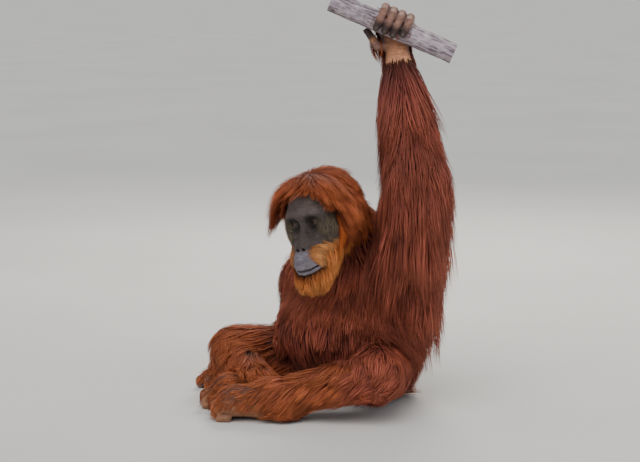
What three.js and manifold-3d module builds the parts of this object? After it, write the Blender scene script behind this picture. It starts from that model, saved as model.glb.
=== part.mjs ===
// A life-size orangutan, an adult female, sitting on the floor with her left arm raised to a branch.
// Millimetres, +Z up. She faces -Y and her left side is +X.
// The origin is on the floor under her seat.
import * as THREE from 'three';
import { mergeVertices } from 'three/addons/utils/BufferGeometryUtils.js';
import Module from 'manifold-3d';

const wasm = await Module();
wasm.setup();

const vec = (x, y, z) => new THREE.Vector3(x, y, z);
const UP = vec(0, 0, 1);
const DOWN = vec(0, 0, -1);

// Driving dimensions: the joints of the body
const HIP_LEFT = vec(75, -15, 92);
const KNEE_LEFT = vec(226, -205, 108);
const ANKLE_LEFT = vec(38, -352, 58);
const HIP_RIGHT = vec(-75, -15, 92);
const KNEE_RIGHT = vec(-262, -212, 105);
const ANKLE_RIGHT = vec(-72, -292, 46);
const SHOULDER_LEFT = vec(118, -8, 325);
const ELBOW_LEFT = vec(248, -88, 560);
const WRIST_LEFT = vec(122, -19, 835);
const SHOULDER_RIGHT = vec(-140, -62, 280);
const ELBOW_RIGHT = vec(-340, 108, 98);
const WRIST_RIGHT = vec(-339, -139, 38);
const SEAT = vec(0, -5, 104);
const BELLY = vec(-8, -92, 180);
const CHEST = vec(-8, -62, 298);
const BACK = vec(38, 8, 205);
const NAPE = vec(24, -62, 405);
const HEAD = vec(55, -206, 475);
const HEAD_TURN = new THREE.Euler(0.179, -0.21, 0.177, 'ZXY');

// Driving dimensions: the branch
const BRANCH_AT = vec(124, -46, 925);
const BRANCH_WAY = vec(0.65, 0.65, -0.39).normalize();
const BRANCH_RADIUS = 26;
const BRANCH_LENGTH = 320;

// How the pieces of the body meet: the gap between two nodes, how far a form stops short of its
// parting or runs past it, how far it flares where it has none, and the rounding between forms
const GAP = 0.35;
const PARTING = 3;
const OVERRUN = 10;
const FLARE = 14;
const BLEND = 34;

// Locks: how deep their roots sit, how high they start, how deep a root may lie in another form,
// how low they may hang, and how much more their edges, faces and tips grow than other shapes
const SINK = 9;
const LIFT = 12;
const BURIED = 13;
const LOCK_LOWEST = 7;
const LOCK_FLOOR = 1.5;
const EDGE_GROWS = 8;
const FACE_GROWS = 2;
const TIP_GROWS = 3;
const SECTION_WIDE = 1.73;
const SECTION_HIGH = 1.5;

// Faces that come closer than this are drawn back from each other
const CLOSE = 0.004;
const DRAW_BACK = 0.02;

// Digits and palms
const DIGIT_SIDES = 5;
const DIGIT_LOWEST = 9;
const PALM_RADIUS = 13;

// Colours and surfaces of the materials
const FINISH = {
  coat: { color: 0x8a4128, roughness: 0.85, metalness: 0 },
  crown: { color: 0xa4532a, roughness: 0.85, metalness: 0 },
  skin: { color: 0x5a5152, roughness: 0.6, metalness: 0 },
  palm: { color: 0xa07a68, roughness: 0.6, metalness: 0 },
  eye: { color: 0x2a1a12, roughness: 0.15, metalness: 0 },
  bark: { color: 0x8d8488, roughness: 0.9, metalness: 0 },
};

// Shapes are functions that give a point's distance to a surface, less than zero inside

function rod(from, to, fromRadius, toRadius) {
  const way = to.clone().sub(from);
  const square = way.lengthSq();
  return (p) => {
    const x = p.x - from.x;
    const y = p.y - from.y;
    const z = p.z - from.z;
    const s = Math.min(1, Math.max(0, (x * way.x + y * way.y + z * way.z) / square));
    const away = Math.hypot(x - s * way.x, y - s * way.y, z - s * way.z);
    return away - fromRadius - s * (toRadius - fromRadius);
  };
}

function egg(centre, radii, turn = null) {
  const back = turn ? new THREE.Matrix3().setFromMatrix4(turn).transpose() : null;
  const q = vec(0, 0, 0);
  return (p) => {
    q.copy(p).sub(centre);
    if (back) q.applyMatrix3(back);
    const near = Math.hypot(q.x / radii.x, q.y / radii.y, q.z / radii.z);
    const steep = Math.hypot(q.x / radii.x ** 2, q.y / radii.y ** 2, q.z / radii.z ** 2);
    return steep < 1e-9 ? -Math.min(radii.x, radii.y, radii.z) : (near * (near - 1)) / steep;
  };
}

function smoothMin(a, b, blend) {
  const h = Math.max(blend - Math.abs(a - b), 0) / blend;
  return Math.min(a, b) - (h * h * blend) / 4;
}

function fused(blend, ...shapes) {
  return (p) => shapes.reduce((least, shape) => smoothMin(least, shape(p), blend), 1e6);
}

function slope(field, p, reach = 1.5) {
  const q = p.clone();
  const along = (axis) => {
    q[axis] = p[axis] + reach;
    const more = field(q);
    q[axis] = p[axis] - reach;
    const less = field(q);
    q[axis] = p[axis];
    return more - less;
  };
  return vec(along('x'), along('y'), along('z')).normalize();
}

const mix = (a, b, s) => a.clone().lerp(b, s);
const between = (a, b, s) => a + (b - a) * s;

// A seeded draw, so that the locks vary alike each time
function draws(seed) {
  let state = seed;
  return (low, high) => {
    state = (Math.imul(state, 1664525) + 1013904223) >>> 0;
    return low + ((high - low) * state) / 4294967296;
  };
}

// Places on the head are given in its own frame and turned with it
const headFrame = new THREE.Matrix4().makeRotationFromEuler(HEAD_TURN).setPosition(HEAD);
const headTurn = new THREE.Matrix4().makeRotationFromEuler(HEAD_TURN);
const onHead = (x, y, z) => vec(x, y, z).applyMatrix4(headFrame);
const headWay = (x, y, z) => vec(x, y, z).applyMatrix4(headTurn).normalize();
const headEgg = (x, y, z, rx, ry, rz) => egg(onHead(x, y, z), vec(rx, ry, rz), headTurn);

// The head's own features
const EYE_SIDE = 30;
const EYE_FORWARD = -68;
const EYE_HEIGHT = 9;
const EYE_RADIUS = 12;
const LID_THICK = 2.6;
const MOUTH = [
  [-43, -96, -80], [-33, -114, -88], [-17, -129, -93], [0, -134, -94],
  [17, -129, -93], [33, -114, -88], [43, -96, -80],
];

const skull = fused(
  18,
  headEgg(0, 8, 24, 76, 88, 84),
  headEgg(0, -42, 30, 58, 42, 50),
  rod(onHead(-34, -72, 30), onHead(34, -72, 30), 13, 13),
  headEgg(45, -50, -12, 27, 36, 50),
  headEgg(-45, -50, -12, 27, 36, 50),
  headEgg(0, -76, -62, 52, 46, 46),
  headEgg(0, -98, -76, 41, 35, 30),
  headEgg(0, -86, -106, 39, 33, 25),
);
const noseForm = headEgg(0, -106, -40, 17, 13, 12);
const noseBridge = rod(onHead(0, -80, 18), onHead(0, -104, -34), 7, 10);
const sockets = [-1, 1].map((side) => headEgg(side * EYE_SIDE, -96, EYE_HEIGHT - 1, 18, 22, 13));

function headShape(p) {
  let d = smoothMin(skull(p), smoothMin(noseForm(p), noseBridge(p), 12), 12);
  for (const socket of sockets) d = -smoothMin(-d, socket(p), 12);
  return d;
}

// A hand: its palm from the wrist to the knuckles, and the course of each finger
const ACROSS = 21.5;
const handFront = vec(0.7071, -0.7071, 0);
const branchUp = handFront.clone().cross(BRANCH_WAY).normalize();

function aroundBranch(along, angle, away) {
  const turn = THREE.MathUtils.degToRad(angle);
  return BRANCH_AT.clone()
    .addScaledVector(BRANCH_WAY, along)
    .addScaledVector(handFront, -Math.cos(turn) * away)
    .addScaledVector(branchUp, Math.sin(turn) * away);
}

const FINGER_RADIUS = 10;
const HOLD = BRANCH_RADIUS + FINGER_RADIUS + 1;
const gripAlong = (i) => -32 + i * 21.5;
const gripKnuckle = (i) => aroundBranch(gripAlong(i), 2 + 4 * i, HOLD + 5);
const gripFinger = (i) => [
  gripKnuckle(i),
  aroundBranch(gripAlong(i), 42, HOLD + 3),
  aroundBranch(gripAlong(i) - 1, 88, HOLD + 1),
  aroundBranch(gripAlong(i) - 2, 132, HOLD),
  aroundBranch(gripAlong(i) - 3, 172, HOLD - 0.5),
  aroundBranch(gripAlong(i) - 4, i === 3 ? 188 : 205, HOLD - 1),
];

// The right hand lies on the floor with its fingers curled under
const REST_WAY = vec(0.28, -0.95, -0.12).normalize();
const restSide = REST_WAY.clone().cross(UP).normalize();
const restKnuckle = (i) => WRIST_RIGHT.clone()
  .addScaledVector(REST_WAY, 84 - 3 * Math.abs(i - 1.3))
  .addScaledVector(restSide, (i - 1.5) * -ACROSS)
  .setZ(26);
const restFinger = (i) => curl(restKnuckle(i), REST_WAY, [38, 27, 20], [8, 92, 165]);

// A digit that curls down from its knuckle: the lengths of its bones and how far each turns down
function curl(start, way, bones, turns) {
  const points = [start.clone()];
  const flat = way.clone().setZ(0).normalize();
  bones.forEach((bone, i) => {
    const turn = THREE.MathUtils.degToRad(turns[i]);
    const next = points[points.length - 1].clone()
      .addScaledVector(flat, Math.cos(turn) * bone)
      .addScaledVector(DOWN, Math.sin(turn) * bone);
    next.z = Math.max(next.z, DIGIT_LOWEST);
    points.push(next);
  });
  return points;
}

// The feet: the ball is ahead of the ankle and four toes curl down from it
const FEET = {
  left: { ankle: ANKLE_LEFT, way: vec(-0.77, -0.64, 0).normalize() },
  right: { ankle: ANKLE_RIGHT, way: vec(-0.79, -0.61, 0).normalize() },
};
for (const [side, foot] of Object.entries(FEET)) {
  foot.out = foot.way.clone().cross(UP).normalize().multiplyScalar(side === 'left' ? -1 : 1);
  foot.ball = foot.ankle.clone().addScaledVector(foot.way, side === 'left' ? 104 : 88).setZ(44);
  foot.heel = foot.ankle.clone().addScaledVector(foot.way, -26).setZ(28);
  foot.knuckle = (i) => foot.ball.clone()
    .addScaledVector(foot.out, (i - 1.5) * 20)
    .addScaledVector(foot.way, 16 - 5 * i)
    .setZ(46 - 3 * i);
  foot.toe = (i) => curl(foot.knuckle(i), foot.way, [36 - 2 * i, 27 - i, 20], [14, 96, 168]);
  foot.thumb = [
    foot.ankle.clone().addScaledVector(foot.way, 22).addScaledVector(foot.out, -30).setZ(34),
    foot.ankle.clone().addScaledVector(foot.way, 42).addScaledVector(foot.out, -50).setZ(22),
    foot.ankle.clone().addScaledVector(foot.way, 60).addScaledVector(foot.out, -54).setZ(14),
  ];
}

// The forms of the body: the distance to each, the form it grows from, its axis and its net of faces.
// A form is parted from the one it grows from by a plane that faces along the limb, or where it has
// no plane it flares out a little and ends on that form's own surface.
const forms = {};

function form(name, shape, parent, plane, axis, net, finish = 'coat', options = {}) {
  forms[name] = { shape, parent, plane, axis, net, finish, children: [], ...options };
}

const partedAt = (at, from, to) => ({ at, way: to.clone().sub(from).normalize() });
const alongBone = (from, to, share) => partedAt(mix(from, to, share), from, to);

const palmShape = (wrist, knuckle) => fused(
  14,
  ...[0, 1, 2, 3].map((i) => rod(wrist, knuckle(i), PALM_RADIUS + 5, PALM_RADIUS)),
);

form(
  'torso_lower',
  fused(50, egg(BELLY, vec(168, 146, 128)), egg(SEAT, vec(150, 122, 112)), egg(BACK, vec(124, 110, 150))),
  null, null, [vec(9, -16, 60), vec(-6, -62, 212)], [20, 12],
);
form(
  'torso_upper',
  fused(
    40, egg(CHEST, vec(148, 116, 108)), rod(mix(CHEST, SHOULDER_LEFT, 0.5), SHOULDER_LEFT, 88, 76),
    rod(mix(CHEST, SHOULDER_RIGHT, 0.5), SHOULDER_RIGHT, 86, 74), rod(CHEST, NAPE, 96, 80),
    egg(BACK, vec(124, 110, 150)),
  ),
  'torso_lower', partedAt(vec(0, -70, 245), vec(0, 0, 0), vec(0, 0.1, 1)),
  [vec(-8, -64, 272), vec(0, -46, 350)], [20, 12],
);
form(
  'face', headShape, null, null,
  [onHead(0, -30, 16), onHead(0, -66, -40)], [24, 20], 'skin',
  { facing: headWay(1, 0, 0), front: true },
);
const hairline = { at: onHead(0, -47, 60), way: headWay(0, 1, 0.05) };
const jawLine = { at: onHead(0, -104, -112), way: headWay(0, 0.7, -0.7) };
form(
  'head', headShape, 'face', hairline,
  [onHead(0, 34, 0), onHead(0, -4, 30)], [18, 12], 'crown', { facing: headWay(1, 0, 0) },
);
form(
  'beard', headShape, 'face', jawLine,
  [onHead(0, -62, -84), onHead(0, -92, -106)], [12, 7], 'crown', { facing: headWay(1, 0, 0) },
);
form(
  'neck', fused(30, rod(NAPE, onHead(0, 30, -6), 82, 62)), 'torso_upper', null,
  [mix(NAPE, HEAD, 0.25), mix(NAPE, HEAD, 0.5)], [14, 8], 'coat', { flare: 3 },
);
form(
  'upper_arm_left', rod(SHOULDER_LEFT, ELBOW_LEFT, 74, 58), 'torso_upper', null,
  [mix(SHOULDER_LEFT, ELBOW_LEFT, 0.3), mix(SHOULDER_LEFT, ELBOW_LEFT, 0.9)], [12, 9],
);
form(
  'forearm_left',
  fused(20, rod(ELBOW_LEFT, WRIST_LEFT, 58, 35), egg(mix(ELBOW_LEFT, WRIST_LEFT, 0.4), vec(60, 60, 104))),
  'upper_arm_left', partedAt(ELBOW_LEFT, SHOULDER_LEFT, WRIST_LEFT),
  [mix(ELBOW_LEFT, WRIST_LEFT, 0.18), mix(ELBOW_LEFT, WRIST_LEFT, 0.93)], [14, 11],
);
form(
  'hand_left', palmShape(WRIST_LEFT, gripKnuckle),
  'forearm_left', alongBone(WRIST_LEFT, gripKnuckle(1.5), 0.05),
  [mix(WRIST_LEFT, gripKnuckle(1.2), 0.3), mix(WRIST_LEFT, gripKnuckle(1.5), 0.85)],
  [14, 9], 'palm', { blend: 14 },
);
form(
  'upper_arm_right', rod(SHOULDER_RIGHT, ELBOW_RIGHT, 74, 56), 'torso_upper', null,
  [mix(SHOULDER_RIGHT, ELBOW_RIGHT, 0.3), mix(SHOULDER_RIGHT, ELBOW_RIGHT, 0.9)], [12, 9],
);
form(
  'forearm_right', fused(20, rod(ELBOW_RIGHT, WRIST_RIGHT, 54, 33)),
  'upper_arm_right', partedAt(ELBOW_RIGHT, SHOULDER_RIGHT, WRIST_RIGHT),
  [mix(ELBOW_RIGHT, WRIST_RIGHT, 0.18), mix(ELBOW_RIGHT, WRIST_RIGHT, 0.93)], [12, 10],
);
form(
  'hand_right', palmShape(WRIST_RIGHT, restKnuckle),
  'forearm_right', alongBone(WRIST_RIGHT, restKnuckle(1.5), 0.05),
  [mix(WRIST_RIGHT, restKnuckle(1.5), 0.3), mix(WRIST_RIGHT, restKnuckle(1.5), 0.85)],
  [12, 8], 'palm', { blend: 14 },
);
for (const [side, hip, knee, ankle] of [
  ['left', HIP_LEFT, KNEE_LEFT, ANKLE_LEFT],
  ['right', HIP_RIGHT, KNEE_RIGHT, ANKLE_RIGHT],
]) {
  const foot = FEET[side];
  form(
    `thigh_${side}`, rod(hip, knee, 90, 62), 'torso_lower', null,
    [mix(hip, knee, 0.45), mix(hip, knee, 0.88)], [14, 8],
  );
  form(
    `shin_${side}`, fused(20, rod(knee, ankle, 58, 36), egg(mix(knee, ankle, 0.4), vec(56, 56, 48))),
    `thigh_${side}`, partedAt(knee, hip, ankle),
    [mix(knee, ankle, 0.24), mix(knee, ankle, 0.88)], [14, 9],
  );
  form(
    `foot_${side}`,
    fused(
      24, rod(ankle, foot.ball, 36, 28), rod(foot.heel, foot.ball, 33, 28),
      rod(
        foot.ball.clone().addScaledVector(foot.out, 22),
        foot.ball.clone().addScaledVector(foot.out, -22), 25, 27,
      ),
    ),
    `shin_${side}`, partedAt(ankle.clone().setZ(84), knee, foot.ball.clone().setZ(0)),
    [foot.ankle.clone().setZ(38), foot.ball.clone().setZ(38)], [14, 10], 'skin', { blend: 18 },
  );
}
for (const own of Object.values(forms)) {
  if (own.plane) forms[own.parent].children.push(own);
}

const past = (plane, p) => (
  (p.x - plane.at.x) * plane.way.x + (p.y - plane.at.y) * plane.way.y
  + (p.z - plane.at.z) * plane.way.z
);

// The surface of a form, rounded into its neighbours and ended a little past its partings
function joined(name) {
  const own = forms[name];
  const blend = own.blend ?? BLEND;
  const root = forms[own.parent];
  const rooted = root && root.shape !== own.shape;
  return (p) => {
    const mine = own.shape(p);
    let surface = rooted ? smoothMin(mine, root.shape(p), blend) : mine;
    let ended = -p.z;
    if (own.plane) ended = Math.max(ended, -past(own.plane, p) - OVERRUN);
    else if (own.parent) ended = Math.max(ended, mine - (own.flare ?? FLARE));
    for (const child of own.children) {
      if (child.shape !== own.shape) {
        surface = smoothMin(surface, child.shape(p), child.blend ?? BLEND);
      }
      ended = Math.max(ended, past(child.plane, p) - PARTING);
    }
    return Math.max(surface, ended);
  };
}

// A closed net of faces drawn out from the form's axis to its surface
function net(name, grow) {
  const own = forms[name];
  const { axis: [from, to], net: [sectors, rings], front } = own;
  const field = joined(name);
  const { way, side, third } = axisFrame(own);
  const geometry = new THREE.SphereGeometry(1, sectors, rings);
  const place = geometry.attributes.position;
  for (let i = 0; i < place.count; i += 1) {
    const angle = Math.acos(THREE.MathUtils.clamp(-place.getY(i), -1, 1));
    const share = front ? 1 - (1 - angle / Math.PI) ** 1.5 : angle / Math.PI;
    const polar = front ? share * Math.PI : angle;
    const radial = Math.hypot(place.getX(i), place.getZ(i));
    const along = front ? -Math.cos(polar) : -(Math.cos(polar) ** 3);
    const out = radial < 1e-6 ? 0 : Math.sqrt(1 - along * along) / radial;
    const heading = way.clone().multiplyScalar(along)
      .addScaledVector(side, -place.getX(i) * out)
      .addScaledVector(third, place.getZ(i) * out);
    const p = reach(field, mix(from, to, share), heading, grow);
    place.setXYZ(i, p.x, p.y, p.z);
  }
  const whole = solid(geometry);
  if (!own.plane) return whole;
  const { at, way: keep } = own.plane;
  return whole.trimByPlane([keep.x, keep.y, keep.z], at.dot(keep) - grow);
}

function axisFrame({ axis: [from, to], facing }) {
  const way = to.clone().sub(from).normalize();
  const side = facing ? facing.clone() : UP.clone();
  side.addScaledVector(way, -side.dot(way));
  if (side.lengthSq() < 0.05) side.copy(vec(1, 0, 0)).addScaledVector(way, -way.x);
  side.normalize();
  return { way, side, third: way.clone().cross(side) };
}

// The place where a line from inside first leaves the field's surface
function reach(field, from, heading, level) {
  let near = 0;
  let far = 0;
  const p = from.clone();
  while (far < 600) {
    const d = field(p) - level;
    if (d > 0) break;
    near = far;
    far += Math.max(1, -d * 0.8);
    p.copy(from).addScaledVector(heading, far);
  }
  for (let i = 0; i < 22; i += 1) {
    const middle = (near + far) / 2;
    p.copy(from).addScaledVector(heading, middle);
    if (field(p) - level > 0) far = middle;
    else near = middle;
  }
  return p.copy(from).addScaledVector(heading, near);
}

function solid(geometry) {
  geometry.deleteAttribute('normal');
  geometry.deleteAttribute('uv');
  const merged = mergeVertices(geometry, 1e-3);
  const mesh = new wasm.Mesh({
    numProp: 3,
    vertProperties: new Float32Array(merged.attributes.position.array),
    triVerts: new Uint32Array(merged.index.array),
  });
  return new wasm.Manifold(mesh);
}

// A tapered tube through a digit's points, with a round root and tip
function digit(points, rootRadius, tipRadius, grow) {
  const course = new THREE.CatmullRomCurve3(points, false, 'centripetal');
  const geometry = new THREE.SphereGeometry(1, DIGIT_SIDES, points.length + 3);
  const place = geometry.attributes.position;
  const whole = course.getLength();
  const p = vec(0, 0, 0);
  for (let i = 0; i < place.count; i += 1) {
    const angle = Math.acos(THREE.MathUtils.clamp(-place.getY(i), -1, 1));
    const share = angle / Math.PI;
    const radius = between(rootRadius, tipRadius, share) + grow;
    const at = THREE.MathUtils.clamp((share * (whole + radius) - radius * 0.5) / whole, 0, 1);
    const way = course.getTangentAt(at);
    const side = handFront.clone().addScaledVector(way, -handFront.dot(way));
    if (side.lengthSq() < 0.1) side.copy(UP).addScaledVector(way, -way.z);
    side.normalize();
    const third = way.clone().cross(side);
    const radial = Math.hypot(place.getX(i), place.getZ(i));
    const along = -(Math.cos(angle) ** 5);
    const out = radial < 1e-6 ? 0 : Math.sqrt(1 - along * along) / radial;
    p.copy(course.getPointAt(at))
      .addScaledVector(way, along * radius)
      .addScaledVector(side, -place.getX(i) * out * radius)
      .addScaledVector(third, place.getZ(i) * out * radius);
    place.setXYZ(i, p.x, p.y, Math.max(p.z, -grow));
  }
  return solid(geometry);
}

// Every digit grows from the palm or the foot and carries its own name
const digits = {};
for (let i = 0; i < 4; i += 1) {
  digits[`finger_left_${i + 1}`] = { points: gripFinger(i), radii: [10.4, 8.8] };
  digits[`finger_right_${i + 1}`] = { points: restFinger(i), radii: [10.4, 9.4] };
}
const thumbRoot = mix(WRIST_LEFT, gripKnuckle(0), 0.42);
digits.thumb_left = {
  points: [
    thumbRoot.clone(),
    thumbRoot.clone().addScaledVector(BRANCH_WAY, -34).addScaledVector(handFront, 8).add(vec(0, 0, -14)),
    thumbRoot.clone().addScaledVector(BRANCH_WAY, -62).addScaledVector(handFront, 12).add(vec(0, 0, 12)),
  ],
  radii: [12, 8.5],
};
const restThumb = mix(WRIST_RIGHT, restKnuckle(0), 0.4);
digits.thumb_right = {
  points: [
    restThumb.clone(),
    restThumb.clone().addScaledVector(restSide, 30).addScaledVector(REST_WAY, 12).setZ(22),
    restThumb.clone().addScaledVector(restSide, 36).addScaledVector(REST_WAY, 38).setZ(14),
  ],
  radii: [12, 9],
};
for (const [side, foot] of Object.entries(FEET)) {
  for (let i = 0; i < 4; i += 1) {
    digits[`toe_${side}_${i + 1}`] = { points: foot.toe(i), radii: [9.9, 9.3] };
  }
  digits[`big_toe_${side}`] = { points: foot.thumb, radii: [13, 10] };
}

// The coat's outer form: every form of the body and the floor
const bodyShapes = Object.values(forms).map(({ shape }) => shape);
const branchShape = rod(
  BRANCH_AT.clone().addScaledVector(BRANCH_WAY, -BRANCH_LENGTH / 2),
  BRANCH_AT.clone().addScaledVector(BRANCH_WAY, BRANCH_LENGTH / 2), BRANCH_RADIUS, BRANCH_RADIUS,
);
const coatSurface = fused(BLEND, ...bodyShapes, branchShape, (p) => p.z);

// The course of a lock: out of its root, then along its lie, bending down under its own weight.
// It lifts off the core all the way to its tip, so that its tip lies over the next lock's root.
function course(start, { lie, length, fall, cling, rise, steps }) {
  const normal = slope(coatSurface, start);
  const points = [start.clone().addScaledVector(normal, -SINK)];
  const normals = [normal];
  const heading = lie.clone().normalize();
  const p = start.clone();
  for (let i = 1; i <= steps; i += 1) {
    const out = slope(coatSurface, p);
    heading.addScaledVector(DOWN, fall / steps).normalize();
    const flat = heading.clone();
    const into = flat.dot(out);
    flat.addScaledVector(out, into < 0 ? -into : -into * cling).normalize();
    p.addScaledVector(flat, length / steps);
    const high = LIFT + (rise - LIFT) * (i / steps);
    const above = coatSurface(p);
    const away = slope(coatSurface, p);
    if (above < high) p.addScaledVector(away, high - above);
    else p.addScaledVector(away, (high - above) * cling);
    p.z = Math.max(p.z, LOCK_LOWEST);
    points.push(p.clone());
    normals.push(away);
  }
  return { points, normals };
}

// A flat, tapered lock along its course: a low ridge on a flat back, widest past its root
function lock(start, size, grow) {
  const { points, normals } = course(start, size);
  const steps = points.length - 1;
  const cone = new THREE.ConeGeometry(1, 1, 3, steps, false);
  const place = cone.attributes.position;
  for (let i = 0; i < place.count; i += 1) {
    const step = Math.round((place.getY(i) + 0.5) * steps);
    const share = step / steps;
    const radial = Math.hypot(place.getX(i), place.getZ(i));
    const next = points[Math.min(steps, step + 1)];
    const way = next.clone().sub(points[Math.max(0, step - 1)]).normalize();
    const side = way.clone().cross(normals[step]).normalize();
    const face = side.clone().cross(way);
    const taper = step === steps ? 0 : Math.min(1, size.root + share) * (1 - share ** 3);
    const unit = radial < 1e-6 ? 0 : 1 / radial;
    const wide = (taper * size.width) / SECTION_WIDE + EDGE_GROWS * grow;
    const high = (taper * size.thick) / SECTION_HIGH + FACE_GROWS * grow;
    const p = points[step].clone()
      .addScaledVector(side, place.getX(i) * unit * wide)
      .addScaledVector(face, place.getZ(i) * unit * high)
      .addScaledVector(way, step === steps ? TIP_GROWS * grow : 0);
    place.setXYZ(i, p.x, p.y, Math.max(p.z, LOCK_FLOOR - grow));
  }
  return solid(cone);
}

// A lock that grows where a line from inside the head comes out of it
function headLock(draw, from, heading, lie, size) {
  return {
    start: reach(headShape, from, heading, 0),
    lie,
    length: size.length * draw(0.9, 1.1),
    width: size.width * draw(0.92, 1.08),
    thick: size.thick ?? 8,
    root: size.root ?? 0.6,
    rise: size.rise,
    fall: size.fall ?? 0.5,
    cling: size.cling ?? 0.9,
    steps: 3,
  };
}

// The crown's cap, its long fringe over both temples and the sideburns. Turns are in degrees from
// the face towards her left, tilts in degrees from the top of the head.
function crownLocks() {
  const draw = draws(31);
  const made = [];
  const centre = onHead(0, 6, 22);
  const put = (from, heading, lie, size) => made.push(headLock(draw, from, heading, lie, size));
  const cap = [
    { tilt: 14, from: -150, to: 150, count: 4, length: 92, width: 76, rise: 22, root: 0.35 },
    { tilt: 52, from: 75, to: 285, count: 5, length: 92, width: 70, rise: 18 },
    { tilt: 86, from: 100, to: 260, count: 4, length: 90, width: 66, rise: 18 },
  ];
  for (const row of cap) {
    for (let i = 0; i < row.count; i += 1) {
      const turn = THREE.MathUtils.degToRad(between(row.from, row.to, i / (row.count - 1)));
      const tilt = THREE.MathUtils.degToRad(row.tilt + draw(-3, 3));
      const across = Math.sin(turn);
      const ahead = -Math.cos(turn);
      const heading = headWay(Math.sin(tilt) * across, Math.sin(tilt) * ahead, Math.cos(tilt));
      const lie = headWay(across * 1.2, ahead * 0.8, -0.4);
      put(centre, heading, lie, { ...row, rise: row.rise + 6 * (i % 2) });
    }
  }
  for (const side of [-1, 1]) {
    const fringe = side < 0
      ? { length: 118, width: 50, rise: 24, cling: 0.25 }
      : { length: 98, width: 48, rise: 15, cling: 0.6 };
    for (let i = 0; i < 3; i += 1) {
      const heading = headWay(side * (0.25 + 0.35 * i), -0.48 + 0.13 * i, 0.82 - 0.2 * i);
      const lie = side < 0 ? headWay(-0.85 + 0.15 * i, -0.15, -0.9) : headWay(0.75 - 0.3 * i, 0.4, -1);
      put(centre, heading, lie, { ...fringe, rise: fringe.rise + 6 * (i % 2) });
    }
    put(
      onHead(0, -14, -12), headWay(side, -0.05, 0), headWay(side * 0.1, -0.25, -1),
      { length: 84, width: 42, rise: 14 },
    );
  }
  return made;
}

// The beard: a fan of locks under the chin and two on each cheek
function beardLocks() {
  const draw = draws(32);
  const made = [];
  const count = 7;
  for (let i = 0; i < count; i += 1) {
    const across = (2 * i) / (count - 1) - 1;
    const from = onHead(across * 26, -74, -98);
    const heading = headWay(across * 0.9, -0.75 + 0.6 * Math.abs(across), -0.85);
    const size = { length: 68 - 8 * (i % 2), width: 42, rise: 12 + 6 * (i % 2), cling: 0.2 };
    made.push(headLock(draw, from, heading, headWay(across * 0.5, -0.12, -1), size));
  }
  for (const side of [-1, 1]) {
    for (let i = 0; i < 2; i += 1) {
      const size = { length: 62, width: 40, rise: 12 + 5 * i, root: 0.5 };
      const from = onHead(0, -58, -58 - 20 * i);
      const lie = headWay(side * 0.25, 0.1 + 0.1 * i, -1);
      made.push(headLock(draw, from, headWay(side, -0.15, 0), lie, size));
    }
  }
  return made;
}

// Locks in rows round a form's axis; angles are in degrees from the side that looks up
function rows(name, seed, list) {
  const own = forms[name];
  const { way, side, third } = axisFrame(own);
  const draw = draws(seed);
  const made = [];
  for (const row of list) {
    for (let i = 0; i < row.count; i += 1) {
      const share = row.count === 1 ? 0.5 : i / (row.count - (row.around === 360 ? 0 : 1));
      const middle = row.middle ?? 0;
      const angle = THREE.MathUtils.degToRad(middle + (share - 0.5) * row.around + draw(-6, 6));
      const heading = side.clone().multiplyScalar(Math.cos(angle))
        .addScaledVector(third, Math.sin(angle));
      const base = mix(...own.axis, row.at + draw(-0.02, 0.02));
      const start = reach(own.shape, base, heading, 0);
      if (coatSurface(start) < -BURIED) continue;
      made.push({
        start,
        lie: row.lie(heading, way),
        length: row.length * draw(0.88, 1.12),
        width: row.width * draw(0.9, 1.1),
        thick: row.thick ?? 10,
        root: row.root ?? 0.45,
        rise: (row.rise ?? 18) + 7 * (i % 2),
        fall: row.fall ?? 0.6,
        cling: row.cling ?? 0.8,
        steps: row.steps ?? 3,
      });
    }
  }
  return made;
}

// The ways a lock can lie: hanging down, or combed along the limb
const hanging = (outward) => (heading) => heading.clone().multiplyScalar(outward).add(DOWN);
const combed = (share, outward = 0.1) => (heading, way) => way.clone().multiplyScalar(share)
  .addScaledVector(heading, outward).addScaledVector(DOWN, 0.35);

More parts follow.
